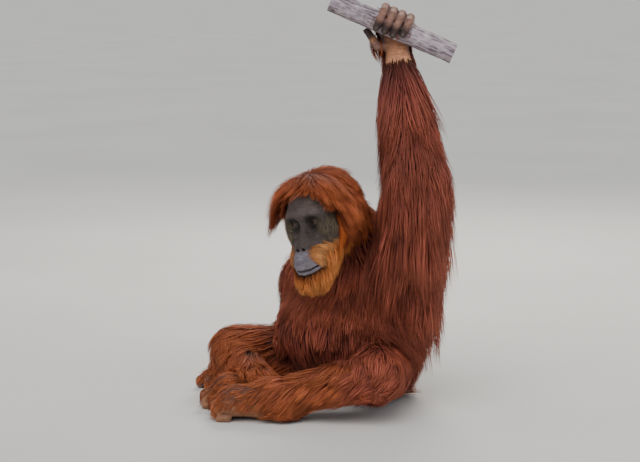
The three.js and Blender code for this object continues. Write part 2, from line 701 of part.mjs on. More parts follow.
const coats = {
  torso_upper: rows('torso_upper', 11, [
    { at: 0.95, count: 6, around: 180, middle: 95, length: 155, width: 70, lie: hanging(0.3) },
    { at: 0.25, count: 11, around: 360, length: 150, width: 70, lie: hanging(0.1) },
  ]),
  torso_lower: rows('torso_lower', 12, [
    { at: 0.98, count: 11, around: 360, length: 145, width: 74, lie: hanging(0.1) },
    { at: 0.45, count: 6, around: 200, middle: 80, length: 112, width: 74, lie: hanging(0.1) },
  ]),
  neck: rows('neck', 13, [
    { at: 0.1, count: 4, around: 170, length: 110, width: 64, lie: combed(-0.8, 0.2) },
  ]),
  upper_arm_left: rows('upper_arm_left', 14, [
    { at: 0.02, count: 3, around: 150, middle: 180, length: 235, width: 68, cling: 0.2, lie: hanging(0.15) },
    { at: 0.45, count: 4, around: 210, middle: 180, length: 255, width: 64, cling: 0.15, lie: hanging(0.12) },
    { at: 0.9, count: 5, around: 290, middle: 180, length: 245, width: 64, cling: 0.15, lie: hanging(0.12) },
  ]),
  forearm_left: rows('forearm_left', 15, [
    { at: 0.04, count: 6, around: 360, length: 180, width: 64, rise: 20, lie: combed(-1, 0.1) },
    { at: 0.45, count: 5, around: 360, length: 165, width: 66, rise: 15, lie: combed(-1, 0.1) },
    { at: 0.86, count: 5, around: 360, length: 150, width: 56, rise: 14, lie: combed(-1, 0.1) },
  ]),
  upper_arm_right: rows('upper_arm_right', 16, [
    { at: 0.05, count: 4, around: 220, length: 145, width: 66, lie: combed(0.7, 0.2) },
    { at: 0.6, count: 4, around: 230, length: 130, width: 64, lie: combed(0.7, 0.2) },
  ]),
  forearm_right: rows('forearm_right', 17, [
    { at: 0.95, count: 3, around: 160, length: 110, width: 48, lie: combed(-0.9) },
    { at: 0.5, count: 4, around: 200, length: 110, width: 56, lie: combed(-0.9) },
  ]),
  thigh_left: rows('thigh_left', 18, [
    { at: 0.05, count: 3, around: 150, length: 130, width: 66, lie: combed(0.9) },
    { at: 0.7, count: 3, around: 170, length: 115, width: 66, lie: combed(0.7, 0.3) },
  ]),
  thigh_right: rows('thigh_right', 19, [
    { at: 0.05, count: 3, around: 150, length: 130, width: 66, lie: combed(0.9) },
    { at: 0.7, count: 3, around: 170, length: 115, width: 66, lie: combed(0.7, 0.3) },
  ]),
  shin_left: rows('shin_left', 20, [
    { at: 0.1, count: 4, around: 220, length: 110, width: 58, lie: combed(0.9) },
    { at: 0.7, count: 3, around: 180, length: 85, width: 54, lie: combed(0.8) },
  ]),
  shin_right: rows('shin_right', 21, [
    { at: 0.1, count: 4, around: 220, length: 105, width: 58, lie: combed(0.8, 0.3) },
    { at: 0.7, count: 3, around: 170, length: 80, width: 52, lie: combed(0.8) },
  ]),
  head: crownLocks(),
  beard: beardLocks(),
};
const locksOf = (name, grow) => (coats[name] ?? []).map((size) => lock(size.start, size, grow));

// Pieces of each node, made at their own size or grown by the gap to cut a neighbour
const makers = {};

makers.branch = (grow) => {
  const outline = new THREE.SphereGeometry(1, 12, 10);
  const place = outline.attributes.position;
  const side = handFront.clone().addScaledVector(BRANCH_WAY, -handFront.dot(BRANCH_WAY)).normalize();
  const third = BRANCH_WAY.clone().cross(side);
  const p = vec(0, 0, 0);
  for (let i = 0; i < place.count; i += 1) {
    const angle = Math.acos(THREE.MathUtils.clamp(-place.getY(i), -1, 1));
    const share = THREE.MathUtils.clamp((angle / Math.PI) * 1.2 - 0.1, 0, 1);
    const radial = Math.hypot(place.getX(i), place.getZ(i));
    const turn = Math.atan2(place.getZ(i), place.getX(i));
    const knots = 1 + 0.05 * Math.sin(3 * turn + share * 5) + 0.04 * Math.sin(share * 13);
    const end = share === 0 || share === 1 ? 1 : 0;
    const size = radial < 1e-6 ? 0 : (BRANCH_RADIUS * knots * (end ? 0.96 : 1) + grow) / radial;
    p.copy(BRANCH_AT).addScaledVector(BRANCH_WAY, (share - 0.5) * (BRANCH_LENGTH + 2 * grow))
      .addScaledVector(side, -place.getX(i) * size)
      .addScaledVector(third, place.getZ(i) * size);
    place.setXYZ(i, p.x, p.y, p.z);
  }
  return solid(outline);
};

for (const [name, side] of [['eye_left', 1], ['eye_right', -1]]) {
  makers[name] = (grow) => {
    const ball = new THREE.SphereGeometry(EYE_RADIUS + grow, 10, 7);
    const at = onHead(side * EYE_SIDE, EYE_FORWARD, EYE_HEIGHT);
    ball.translate(at.x, at.y, at.z);
    return solid(ball);
  };
}

for (const [name, { points, radii }] of Object.entries(digits)) {
  makers[name] = (grow) => digit(points, radii[0], radii[1], grow);
}
for (const name of Object.keys(forms)) {
  makers[name] = (grow) => wasm.Manifold.union([net(name, grow), ...locksOf(name, grow)]);
}

// An ellipsoid in the head's own frame
function headBall(x, y, z, rx, ry, rz, grow = 0, sectors = 12, rings = 8) {
  const ball = new THREE.SphereGeometry(1, sectors, rings);
  ball.scale(rx + grow, ry + grow, rz + grow);
  ball.translate(x, y, z);
  ball.applyMatrix4(headFrame);
  return solid(ball);
}

// A strip that follows the line of the mouth, thin at the corners
function lipLine(rise, half, deep, grow, push = 0) {
  const line = MOUTH.map(([x, y, z]) => onHead(x * (1 - push / 90), y - push, z + rise));
  const course = new THREE.CatmullRomCurve3(line);
  const strip = new THREE.SphereGeometry(1, 4, 9);
  const place = strip.attributes.position;
  const high = headWay(0, 0, 1);
  for (let i = 0; i < place.count; i += 1) {
    const share = Math.acos(THREE.MathUtils.clamp(-place.getY(i), -1, 1)) / Math.PI;
    const way = course.getTangentAt(share);
    const inward = high.clone().cross(way).normalize();
    const p = course.getPointAt(share)
      .addScaledVector(high, -place.getX(i) * (half + grow))
      .addScaledVector(inward, -place.getZ(i) * (deep + grow));
    place.setXYZ(i, p.x, p.y, p.z);
  }
  return solid(strip);
}

makers.face = (grow) => {
  const lids = [-1, 1].map((side) => headBall(
    side * EYE_SIDE, EYE_FORWARD, EYE_HEIGHT,
    EYE_RADIUS + LID_THICK, EYE_RADIUS + LID_THICK, EYE_RADIUS + LID_THICK, grow, 10, 7,
  ));
  const raised = [
    net('face', grow), ...lids, lipLine(4.5, 4.5, 6, grow), lipLine(-5.5, 4.5, 6, grow, -2),
  ];
  const whole = wasm.Manifold.union(raised);
  if (grow > 0) return whole;
  const slits = [-1, 1].map((side) => headBall(
    side * EYE_SIDE, EYE_FORWARD - EYE_RADIUS - 1, EYE_HEIGHT - 1.5, 10.5, 6, 4, 0, 8, 5,
  ));
  const nostrils = [-1, 1].map((side) => headBall(side * 8, -118, -45, 5.5, 9, 4.5, 0, 6, 5));
  return wasm.Manifold.difference([whole, ...slits, ...nostrils, lipLine(-0.5, 1.3, 7, 0, 1)]);
};

for (const [name, side] of [['ear_left', 1], ['ear_right', -1]]) {
  makers[name] = (grow) => {
    const rim = headBall(side * 80, 8, 6, 9, 17, 24, grow, 10, 7);
    const cup = headBall(side * 90, 4, 7, 8, 11, 17, 0, 8, 5);
    return grow > 0 ? rim : rim.subtract(cup);
  };
}

// Nodes are cut in this order: each keeps clear of all that come before it
const order = [
  'branch', 'eye_left', 'eye_right', 'ear_left', 'ear_right', 'beard', 'head', 'face',
  'torso_upper', 'torso_lower', 'neck',
  'hand_left', 'hand_right', 'foot_left', 'foot_right',
  ...Object.keys(digits),
  'forearm_left', 'upper_arm_left', 'forearm_right', 'upper_arm_right',
  'shin_left', 'thigh_left', 'shin_right', 'thigh_right',
];

const finishOf = (name) => {
  if (name === 'branch') return 'bark';
  if (name.startsWith('eye')) return 'eye';
  if (name.startsWith('ear')) return 'skin';
  if (name in digits) return 'palm';
  return forms[name].finish;
};

function bounds(made) {
  const { min, max } = made.boundingBox();
  return new THREE.Box3(vec(...min), vec(...max));
}

const largest = (made) => made.decompose().sort((a, b) => b.volume() - a.volume())[0];

// The faces of a solid as a geometry. Where the surface meets itself at one place, each sheet
// draws back from it a little, so that the sheets stay apart.
function facesOf(made) {
  const { vertProperties, triVerts } = made.getMesh();
  const geometry = new THREE.BufferGeometry();
  geometry.setAttribute('position', new THREE.Float32BufferAttribute(vertProperties, 3));
  geometry.setIndex(new THREE.BufferAttribute(triVerts, 1));
  geometry.computeVertexNormals();
  const { position: place, normal } = geometry.attributes;
  const sheet = Array.from({ length: place.count }, (_, i) => i);
  const cell = sheet.map((i) => (
    [place.getX(i), place.getY(i), place.getZ(i)].map((v) => Math.round(v / CLOSE)).join()
  ));
  const sheetOf = (i) => (sheet[i] === i ? i : sheetOf(sheet[i]));
  for (let i = 0; i < triVerts.length; i += 1) {
    const next = i % 3 === 2 ? i - 2 : i + 1;
    const [from, to] = [triVerts[i], triVerts[next]];
    if (cell[from] === cell[to]) sheet[sheetOf(from)] = sheetOf(to);
  }
  const meeting = new Map();
  for (let i = 0; i < place.count; i += 1) {
    if (!meeting.has(cell[i])) meeting.set(cell[i], new Set());
    meeting.get(cell[i]).add(sheetOf(i));
  }
  for (let i = 0; i < place.count; i += 1) {
    if (meeting.get(cell[i]).size > 1) {
      place.setXYZ(
        i, place.getX(i) - normal.getX(i) * DRAW_BACK, place.getY(i) - normal.getY(i) * DRAW_BACK,
        place.getZ(i) - normal.getZ(i) * DRAW_BACK,
      );
    }
  }
  geometry.deleteAttribute('normal');
  return mergeVertices(geometry, 1e-3);
}

// One closed surface, also once places that lie closer than a micrometre are one
function oneBody(made) {
  let body = largest(made);
  for (let pass = 0; pass < 4; pass += 1) body = largest(solid(facesOf(body)));
  return body;
}

function assemble() {
  const grown = {};
  const finished = {};
  for (const name of order) {
    let made = makers[name](0);
    const box = bounds(made);
    for (const earlier of Object.keys(finished)) {
      if (!box.intersectsBox(grown[earlier].box)) continue;
      made = made.subtract(grown[earlier].solid);
      if (!(name in digits)) made = made.subtract(finished[earlier]);
    }
    finished[name] = oneBody(made);
    const wide = makers[name](GAP);
    grown[name] = { solid: wide, box: bounds(wide) };
  }
  return finished;
}

const orangutan = new THREE.Group();
for (const [name, made] of Object.entries(assemble())) {
  const geometry = facesOf(made);
  geometry.computeVertexNormals();
  const mesh = new THREE.Mesh(geometry, new THREE.MeshStandardMaterial(FINISH[finishOf(name)]));
  mesh.name = name;
  orangutan.add(mesh);
}

export default orangutan;
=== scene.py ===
"""A seated orangutan, an adult female, with a short length of branch: the looks around the frame."""
import math

import bpy
import numpy as np
import openvdb
from mathutils import Matrix, Vector

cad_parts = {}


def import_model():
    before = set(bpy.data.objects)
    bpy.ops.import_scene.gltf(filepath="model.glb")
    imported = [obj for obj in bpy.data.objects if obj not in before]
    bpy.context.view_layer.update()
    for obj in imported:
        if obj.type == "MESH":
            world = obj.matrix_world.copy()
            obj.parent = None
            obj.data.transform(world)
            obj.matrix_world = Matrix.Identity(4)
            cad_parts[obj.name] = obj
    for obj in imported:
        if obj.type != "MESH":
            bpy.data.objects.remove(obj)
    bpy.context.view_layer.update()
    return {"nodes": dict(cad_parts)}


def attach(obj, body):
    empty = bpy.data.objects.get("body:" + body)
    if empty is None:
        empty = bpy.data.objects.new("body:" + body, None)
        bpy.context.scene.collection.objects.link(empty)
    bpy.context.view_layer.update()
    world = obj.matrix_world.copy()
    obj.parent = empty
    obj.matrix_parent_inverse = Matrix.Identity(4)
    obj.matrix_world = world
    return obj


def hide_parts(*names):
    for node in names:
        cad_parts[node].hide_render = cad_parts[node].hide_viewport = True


bl_info = {
    "name": "Seated orangutan",
    "version": (1, 0, 0),
    "blender": (4, 5, 0),
    "location": "View3D > Sidebar > Orangutan",
    "description": "Makes the skin, coat, eyes, nails and branch of a life-size seated orangutan",
    "category": "Object",
}

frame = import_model()

MM = 0.001


def place(x, y, z):
    """A place or a direction as an array, in metres."""
    return np.array((x, y, z), float)


def unit(way):
    """The same direction or directions, one long."""
    return way / np.maximum(np.linalg.norm(way, axis=-1, keepdims=True), 1e-9)


def mix(first, second, share):
    """A value between two others."""
    return first + (second - first) * share


def smooth(low, high, value):
    """A soft step from 0 at low to 1 at high."""
    share = np.clip((value - low) / (high - low), 0, 1)
    return share * share * (3 - 2 * share)


def reach(places, spot, scale=(1, 1, 1)):
    """How far places lie from a spot, each axis counted by its own scale."""
    return np.linalg.norm((places - np.asarray(spot)) * scale, axis=1)


def ways(x, y, z):
    """Directions from three columns, each an array or one number for all."""
    return np.stack(np.broadcast_arrays(x, y, z), axis=1).astype(float)


def turn_about(axis, angle):
    """A turning matrix as an array."""
    return np.array(Matrix.Rotation(angle, 3, axis))


# Joints and middles of the body, in metres, where the solids have them
HIP_LEFT = place(0.075, -0.015, 0.092)
KNEE_LEFT = place(0.226, -0.205, 0.108)
ANKLE_LEFT = place(0.038, -0.352, 0.058)
HIP_RIGHT = place(-0.075, -0.015, 0.092)
KNEE_RIGHT = place(-0.262, -0.212, 0.105)
ANKLE_RIGHT = place(-0.072, -0.292, 0.046)
SHOULDER_LEFT = place(0.118, -0.008, 0.325)
ELBOW_LEFT = place(0.248, -0.088, 0.560)
WRIST_LEFT = place(0.122, -0.019, 0.835)
SHOULDER_RIGHT = place(-0.140, -0.062, 0.280)
ELBOW_RIGHT = place(-0.340, 0.108, 0.098)
WRIST_RIGHT = place(-0.339, -0.139, 0.038)
SEAT = place(0.0, -0.005, 0.104)
BELLY = place(-0.008, -0.092, 0.180)
CHEST = place(-0.008, -0.062, 0.298)
BACK = place(0.038, 0.008, 0.205)
NAPE = place(0.024, -0.062, 0.405)
HEAD = place(0.055, -0.206, 0.475)
HEAD_SWING = 0.177
HEAD_NOD = 0.179
HEAD_LEAN = -0.21
HEAD_TURN = turn_about("Z", HEAD_SWING) @ turn_about("X", HEAD_NOD) @ turn_about("Y", HEAD_LEAN)
DOWN = place(0, 0, -1)
UP = place(0, 0, 1)
FLAT = place(1, 1, 0)

# The branch and the hand round it
BRANCH_AT = place(0.124, -0.046, 0.925)
BRANCH_WAY = unit(place(0.65, 0.65, -0.39))
BRANCH_RADIUS = 0.026
BRANCH_LENGTH = 0.320
HAND_FRONT = place(0.7071, -0.7071, 0)
BRANCH_UP = unit(np.cross(HAND_FRONT, BRANCH_WAY))
FINGER_PITCH = 0.0215
FIRST_FINGER = 0.032
GRIP_RADIUS = 0.037

# The other hand and the feet
REST_WAY = unit(place(0.28, -0.95, -0.12))
REST_SIDE = unit(np.cross(REST_WAY, UP))
FOOT_WAYS = {"left": unit(place(-0.77, -0.64, 0)), "right": unit(place(-0.79, -0.61, 0))}
ANKLES = {"left": ANKLE_LEFT, "right": ANKLE_RIGHT}
FOOT_LENGTHS = {"left": 0.104, "right": 0.088}

# The eyes, nostrils and mouth, in millimetres in the head's own frame
EYE_SIDE = 30
EYE_FORWARD = -68
EYE_HEIGHT = 9
EYE_RADIUS = 12
SOCKET_RADIUS = 12.3
LID_RADIUS = 15.6
NOSTRIL_SIDE = 8.2
NOSTRIL_HEIGHT = -45.5
MOUTH_MIDDLE = -94
MOUTH_CORNER = 50
MOUTH_RISE = 18

# The mouth's line from one corner to the other
MOUTH = [
    (-50, -82, -76), (-43, -98, -81), (-33, -114, -88), (-17, -129, -93), (0, -134, -94),
    (17, -129, -93), (33, -114, -88), (43, -98, -81), (50, -82, -76),
]


def on_head(x, y, z):
    """A place given in millimetres in the head's own frame."""
    return HEAD + HEAD_TURN @ (place(x, y, z) * MM)


def head_way(x, y, z):
    """A direction given in the head's own frame."""
    return unit(HEAD_TURN @ place(x, y, z))


def in_head(places):
    """Places in the head's own frame, in millimetres."""
    return (places - HEAD) @ HEAD_TURN / MM


def mouth_height(across):
    """The height of the mouth's line, in millimetres, at a distance from its middle."""
    return MOUTH_MIDDLE + MOUTH_RISE * (across / MOUTH_CORNER) ** 2


class Form:
    """A shape as a distance to its surface, with the box that holds it."""

    def __init__(self, distance, low, high):
        self.distance = distance
        self.low = np.asarray(low, float)
        self.high = np.asarray(high, float)


def rod(start, end, start_radius, end_radius=None):
    """A round bar that tapers, with round ends."""
    end_radius = start_radius if end_radius is None else end_radius
    way = end - start
    squared = way @ way

    def distance(p):
        share = np.clip((p - start) @ way / squared, 0, 1)
        middle = start + share[..., None] * way
        return np.linalg.norm(p - middle, axis=-1) - mix(start_radius, end_radius, share)

    wide = max(start_radius, end_radius)
    return Form(distance, np.minimum(start, end) - wide, np.maximum(start, end) + wide)


def egg(centre, radii, turn=None):
    """An ellipsoid, turned or not."""
    radii = np.asarray(radii, float)

    def distance(p):
        q = p - centre if turn is None else (p - centre) @ turn
        near = np.linalg.norm(q / radii, axis=-1)
        slope = np.linalg.norm(q / radii ** 2, axis=-1)
        return near * (near - 1) / np.maximum(slope, 1e-6)

    wide = radii if turn is None else np.full(3, radii.max())
    return Form(distance, centre - wide, centre + wide)


def head_egg(x, y, z, across, deep, high):
    """An ellipsoid in the head's frame, in millimetres."""
    return egg(on_head(x, y, z), np.array((across, deep, high)) * MM, HEAD_TURN)


def head_rod(start, end, start_radius, end_radius=None):
    """A bar in the head's frame, in millimetres."""
    end_radius = start_radius if end_radius is None else end_radius
    return rod(on_head(*start), on_head(*end), start_radius * MM, end_radius * MM)


def soft_min(first, second, blend):
    """The lower of two distances, with a rounded join."""
    share = np.clip(0.5 + 0.5 * (second - first) / blend, 0, 1)
    return second + (first - second) * share - blend * share * (1 - share)


def fused(blend, *shapes):
    """Several shapes as one, with rounded joins."""

    def distance(p):
        total = shapes[0].distance(p)
        for shape in shapes[1:]:
            total = soft_min(total, shape.distance(p), blend)
        return total

    return Form(
        distance,
        np.min([shape.low for shape in shapes], axis=0),
        np.max([shape.high for shape in shapes], axis=0),
    )


def carved(shape, cut, blend):
    """A shape with another taken out of it, with a rounded edge."""
    return Form(
        lambda p: -soft_min(-shape.distance(p), cut.distance(p), blend), shape.low, shape.high,
    )


def chain(points, radii, blend=0.002):
    """A digit or a lip: short bars from point to point."""
    count = len(points) - 1
    bars = [
        rod(points[i], points[i + 1], mix(*radii, i / count), mix(*radii, (i + 1) / count))
        for i in range(count)
    ]
    return fused(blend, *bars)


def curl(start, way, lengths, turns, lowest):
    """Points of a digit that curls down by each joint's angle in degrees."""
    points = [start]
    for length, angle in zip(lengths, turns):
        bend = math.radians(angle)
        step = way * math.cos(bend) + DOWN * math.sin(bend)
        after = points[-1] + step * length * MM
        after[2] = max(after[2], lowest * MM)
        points.append(after)
    return points


def around_branch(along, angle, away):
    """A place by the branch: metres along it, degrees round it from the front, metres from its axis."""
    bend = math.radians(angle)
    return (
        BRANCH_AT + BRANCH_WAY * along
        - HAND_FRONT * math.cos(bend) * away
        + BRANCH_UP * math.sin(bend) * away
    )


def holding_hand():
    """The hand round the branch: its knuckles, and the points and end radii of each digit."""
    heads, made = [], {}
    gaps = (0.0030, 0.0010, 0.0, -0.0005, -0.0010)
    for i in range(4):
        along = FINGER_PITCH * i - FIRST_FINGER
        knuckle = around_branch(along, 2 + 4 * i, GRIP_RADIUS + 0.005)
        angles = (42, 88, 132, 172, 188 if i == 3 else 205)
        points = [knuckle] + [
            around_branch(along - spot * MM, angle, GRIP_RADIUS + gap)
            for spot, (angle, gap) in enumerate(zip(angles, gaps))
        ]
        heads.append(knuckle)
        made[f"finger_left_{i + 1}"] = (points, (0.0104, 0.0088))
    root = mix(WRIST_LEFT, heads[0], 0.42)
    bend = root - BRANCH_WAY * 0.034 + HAND_FRONT * 0.008 - UP * 0.014
    tip = root - BRANCH_WAY * 0.062 + HAND_FRONT * 0.012 + UP * 0.012
    made["thumb_left"] = ([root, bend, tip], (0.0120, 0.0085))
    return heads, made


def resting_hand():
    """The hand on the floor: its knuckles, and the points and end radii of each digit."""
    heads, made = [], {}
    for i in range(4):
        palm_length = 0.084 - 0.003 * abs(i - 1.3)
        knuckle = WRIST_RIGHT + REST_WAY * palm_length - REST_SIDE * (i - 1.5) * FINGER_PITCH
        knuckle[2] = 0.026
        points = curl(knuckle, unit(REST_WAY * FLAT), (38, 27, 20), (8, 92, 165), 9)
        heads.append(knuckle)
        made[f"finger_right_{i + 1}"] = (points, (0.0104, 0.0094))
    root = mix(WRIST_RIGHT, heads[0], 0.4)
    bend = (root + REST_SIDE * 0.030 + REST_WAY * 0.012) * FLAT + UP * 0.022
    tip = (root + REST_SIDE * 0.036 + REST_WAY * 0.038) * FLAT + UP * 0.014
    made["thumb_right"] = ([root, bend, tip], (0.0120, 0.0090))
    return heads, made


def foot_places(side, sign):
    """A foot's ankle, heel and ball, and its directions outwards and forwards."""
    ankle, way = ANKLES[side], FOOT_WAYS[side]
    out = unit(np.cross(way, UP)) * sign
    ball = (ankle + way * FOOT_LENGTHS[side]) * FLAT + UP * 0.044
    heel = (ankle - way * 0.026) * FLAT + UP * 0.028
    return ankle, heel, ball, out, way


def toes_of(side):
    """The points and end radii of each toe of a foot."""
    ankle, _, ball, out, way = feet[side]
    made = {}
    for i in range(4):
        ahead = way * (16 - 5 * i) * MM
        knuckle = (ball + out * (i - 1.5) * 0.020 + ahead) * FLAT + UP * (46 - 3 * i) * MM
        points = curl(knuckle, way, (36 - 2 * i, 27 - i, 20), (14, 96, 168), 9)
        made[f"toe_{side}_{i + 1}"] = (points, (0.0099, 0.0093))
    root = (ankle + way * 0.022 - out * 0.030) * FLAT + UP * 0.034
    bend = (ankle + way * 0.042 - out * 0.050) * FLAT + UP * 0.022
    tip = (ankle + way * 0.060 - out * 0.054) * FLAT + UP * 0.014
    made[f"big_toe_{side}"] = ([root, bend, tip], (0.0130, 0.0100))
    return made


feet = {"left": foot_places("left", -1), "right": foot_places("right", 1)}
knuckles = {}
knuckles["hand_left"], left_digits = holding_hand()
knuckles["hand_right"], right_digits = resting_hand()
digits = {**left_digits, **right_digits, **toes_of("left"), **toes_of("right")}


def torso_shapes(depth):
    """The two halves of the trunk, drawn in by the coat's dense core."""
    lower = fused(
        0.050, egg(BELLY, place(0.168, 0.146, 0.128) - depth),
        egg(SEAT, place(0.150, 0.122, 0.112) - depth), egg(BACK, place(0.124, 0.110, 0.150) - depth),
    )
    upper = fused(
        0.040, egg(CHEST, place(0.148, 0.116, 0.108) - depth),
        rod(mix(CHEST, SHOULDER_LEFT, 0.5), SHOULDER_LEFT, 0.088 - depth, 0.076 - depth),
        rod(mix(CHEST, SHOULDER_RIGHT, 0.5), SHOULDER_RIGHT, 0.086 - depth, 0.074 - depth),
        rod(CHEST, NAPE, 0.096 - depth, 0.080 - depth), egg(BACK, place(0.124, 0.110, 0.150) - depth),
    )
    return lower, upper


def limb_shapes(depth):
    """The hairy parts of the limbs, drawn in by the coat's dense core."""
    def shin(knee, ankle):
        return fused(
            0.020, rod(knee, ankle, 0.058 - depth, 0.036 - depth / 3),
            egg(mix(knee, ankle, 0.4), place(0.056, 0.056, 0.048) - depth),
        )

    return {
        "upper_arm_left": rod(SHOULDER_LEFT, ELBOW_LEFT, 0.074 - depth, 0.058 - depth),
        "forearm_left": rod(ELBOW_LEFT, WRIST_LEFT, 0.058 - depth, 0.035 - depth / 3),
        "upper_arm_right": rod(SHOULDER_RIGHT, ELBOW_RIGHT, 0.074 - depth, 0.056 - depth),
        "forearm_right": rod(ELBOW_RIGHT, WRIST_RIGHT, 0.054 - depth, 0.033 - depth / 3),
        "thigh_left": rod(HIP_LEFT, KNEE_LEFT, 0.090 - depth, 0.062 - depth),
        "thigh_right": rod(HIP_RIGHT, KNEE_RIGHT, 0.090 - depth, 0.062 - depth),
        "shin_left": shin(KNEE_LEFT, ANKLE_LEFT),
        "shin_right": shin(KNEE_RIGHT, ANKLE_RIGHT),
    }


def palm(wrist, heads):
    """A palm: four bones from the wrist to the knuckles."""
    return fused(0.014, *[rod(wrist, head, 0.018, 0.013) for head in heads])


def sole(ankle, heel, ball, out):
    """A foot up to the root of its toes."""
    return fused(
        0.024, rod(ankle, ball, 0.036, 0.028), rod(heel, ball, 0.033, 0.028),
        rod(ball + out * 0.022, ball - out * 0.022, 0.025, 0.027),
    )


def head_shape():
    """The head with brow, sockets, nose, muzzle and chin, its ears, and the lips and nostrils."""
    skull = fused(
        0.018,
        head_egg(0, 8, 24, 76, 88, 84), head_egg(0, -42, 30, 58, 42, 50),
        head_rod((-34, -76, 29), (34, -76, 29), 13.5),
        head_egg(45, -50, -12, 27, 36, 50), head_egg(-45, -50, -12, 27, 36, 50),
        head_egg(0, -76, -62, 52, 46, 46), head_egg(0, -98, -76, 41, 35, 30),
        head_egg(0, -86, -106, 39, 33, 25),
    )
    bridge = head_rod((0, -80, 18), (0, -104, -34), 7, 10)
    nose = fused(0.012, head_egg(0, -106, -40, 17, 13, 12), bridge)
    wings = fused(0.004, *[head_egg(side * 9.5, -113, -43, 7.5, 7, 7.5) for side in (-1, 1)])
    shape = fused(0.012, skull, nose)
    shape = fused(0.005, shape, wings)
    for side in (-1, 1):
        shape = carved(shape, head_egg(side * EYE_SIDE, -96, 8, 18, 22, 13), 0.012)
        eye = (side * EYE_SIDE, EYE_FORWARD, EYE_HEIGHT)
        shape = fused(0.004, shape, head_egg(*eye, LID_RADIUS, LID_RADIUS, LID_RADIUS))
        slit = head_egg(side * EYE_SIDE, EYE_FORWARD - 14, EYE_HEIGHT, 12.5, 11, 6.6)
        shape = carved(shape, slit, 0.002)
        shape = carved(shape, head_egg(*eye, SOCKET_RADIUS, SOCKET_RADIUS, SOCKET_RADIUS), 0.0008)
        nostril = head_egg(side * NOSTRIL_SIDE, -118, NOSTRIL_HEIGHT, 4.6, 8, 3.8)
        shape = carved(shape, nostril, 0.002)
    upper_lip = [on_head(x, y + 2.5, z + 4.6) for x, y, z in MOUTH]
    lower_lip = [on_head(x * 0.98, y + 4, z - 5.6) for x, y, z in MOUTH]
    parting = [on_head(x * 1.01, y - 2.5, z - 0.4) for x, y, z in MOUTH]
    shape = fused(0.006, shape, chain(upper_lip, (0.0050, 0.0050)), chain(lower_lip, (0.0052, 0.0052)))
    shape = carved(shape, chain(parting, (0.0017, 0.0017)), 0.0024)
    ears = []
    for side in (-1, 1):
        rim = carved(head_egg(side * 80, 8, 6, 9, 17, 24), head_egg(side * 90, 4, 7, 8, 11, 17), 0.004)
        fold = head_egg(side * 83, 12, 2, 4.5, 5.5, 11)
        ears.append(fused(0.005, rim, fold))
    return fused(0.004, shape, *ears)


def digit_shapes(prefix):
    """All digits whose names start alike."""
    return [
        chain(points, radii, 0.004)
        for name, (points, radii) in digits.items() if name.startswith(prefix)
    ]


def body_parts(depth):
    """Every part of the skin by name."""
    lower, upper = torso_shapes(depth)
    parts = {"torso_lower": lower, "torso_upper": upper, **limb_shapes(depth)}
    parts["neck"] = rod(NAPE, on_head(0, 30, -6), 0.082 - depth, 0.062 - depth)
    parts["head"] = head_shape()
    for side, wrist in (("left", WRIST_LEFT), ("right", WRIST_RIGHT)):
        fingers = fused(0.0012, *digit_shapes(f"finger_{side}"), *digit_shapes(f"thumb_{side}"))
        parts[f"hand_{side}"] = fused(0.007, palm(wrist, knuckles[f"hand_{side}"]), fingers)
        ankle, heel, ball, out, _ = feet[side]
        toes = fused(0.0012, *digit_shapes(f"toe_{side}"), *digit_shapes(f"big_toe_{side}"))
        parts[f"foot_{side}"] = fused(0.007, sole(ankle, heel, ball, out), toes)
    return parts


# Where the skin is made fine: a ball round the head, each hand and each foot, with its grid in metres
FINE = {
    "head": (on_head(0, -18, -20), 0.150, 0.00235),
    "hand_left": (mix(WRIST_LEFT, BRANCH_AT, 0.62), 0.110, 0.0031),
    "hand_right": (WRIST_RIGHT + REST_WAY * 0.075, 0.105, 0.0031),
    "foot_left": (mix(ANKLE_LEFT, feet["left"][2], 0.75), 0.118, 0.0034),
    "foot_right": (mix(ANKLE_RIGHT, feet["right"][2], 0.75), 0.112, 0.0034),
}

# How far parts blend, how far a fine ball overlaps the body, and from where a distance counts
BLEND = 0.022
OVERLAP = 0.006
FAR = 0.07
NEAR = 0.03


def whole_distance(parts, p):
    """The distance to the whole skin at places near it; parts far from a place are skipped."""
    total = np.full(len(p), FAR)
    for shape in parts.values():
        near = np.all((p > shape.low - NEAR) & (p < shape.high + NEAR), axis=1)
        if near.any():
            total[near] = soft_min(total[near], shape.distance(p[near]), BLEND)
    return total


def grid_of(parts, low, high, cell):
    """The distance on a grid, worked out only in each part's own box."""
    count = np.ceil((high - low) / cell).astype(int) + 1
    axes = [low[i] + cell * np.arange(count[i]) for i in range(3)]
    total = np.full(count, FAR)
    for shape in parts.values():
        first = [np.searchsorted(axes[i], shape.low[i] - FAR) for i in range(3)]
        last = [np.searchsorted(axes[i], shape.high[i] + FAR) for i in range(3)]
        block = tuple(slice(first[i], last[i]) for i in range(3))
        if min(last[i] - first[i] for i in range(3)) <= 0:
            continue
        mesh = np.meshgrid(*[axes[i][block[i]] for i in range(3)], indexing="ij")
        p = np.stack([side.ravel() for side in mesh], axis=1)
        near = shape.distance(p).reshape(mesh[0].shape)
        total[block] = soft_min(total[block], near, BLEND)
    return total


def fine_grid(parts, rough, low, high, cell, band=0.016):
    """The distance on a fine grid: in full near the surface, and read off a rough grid elsewhere."""
    count = np.ceil((high - low) / cell).astype(int) + 1
    axes = [low[i] + cell * np.arange(count[i]) for i in range(3)]
    picks = [
        np.clip(np.rint((axes[i] - rough.low[i]) / rough.cell).astype(int), 0, rough.values.shape[i] - 1)
        for i in range(3)
    ]
    total = rough.values[np.ix_(*picks)]
    close = np.nonzero(np.abs(total) < band)
    p = np.stack([axes[i][close[i]] for i in range(3)], axis=1)
    total[close] = whole_distance(parts, p)
    return total


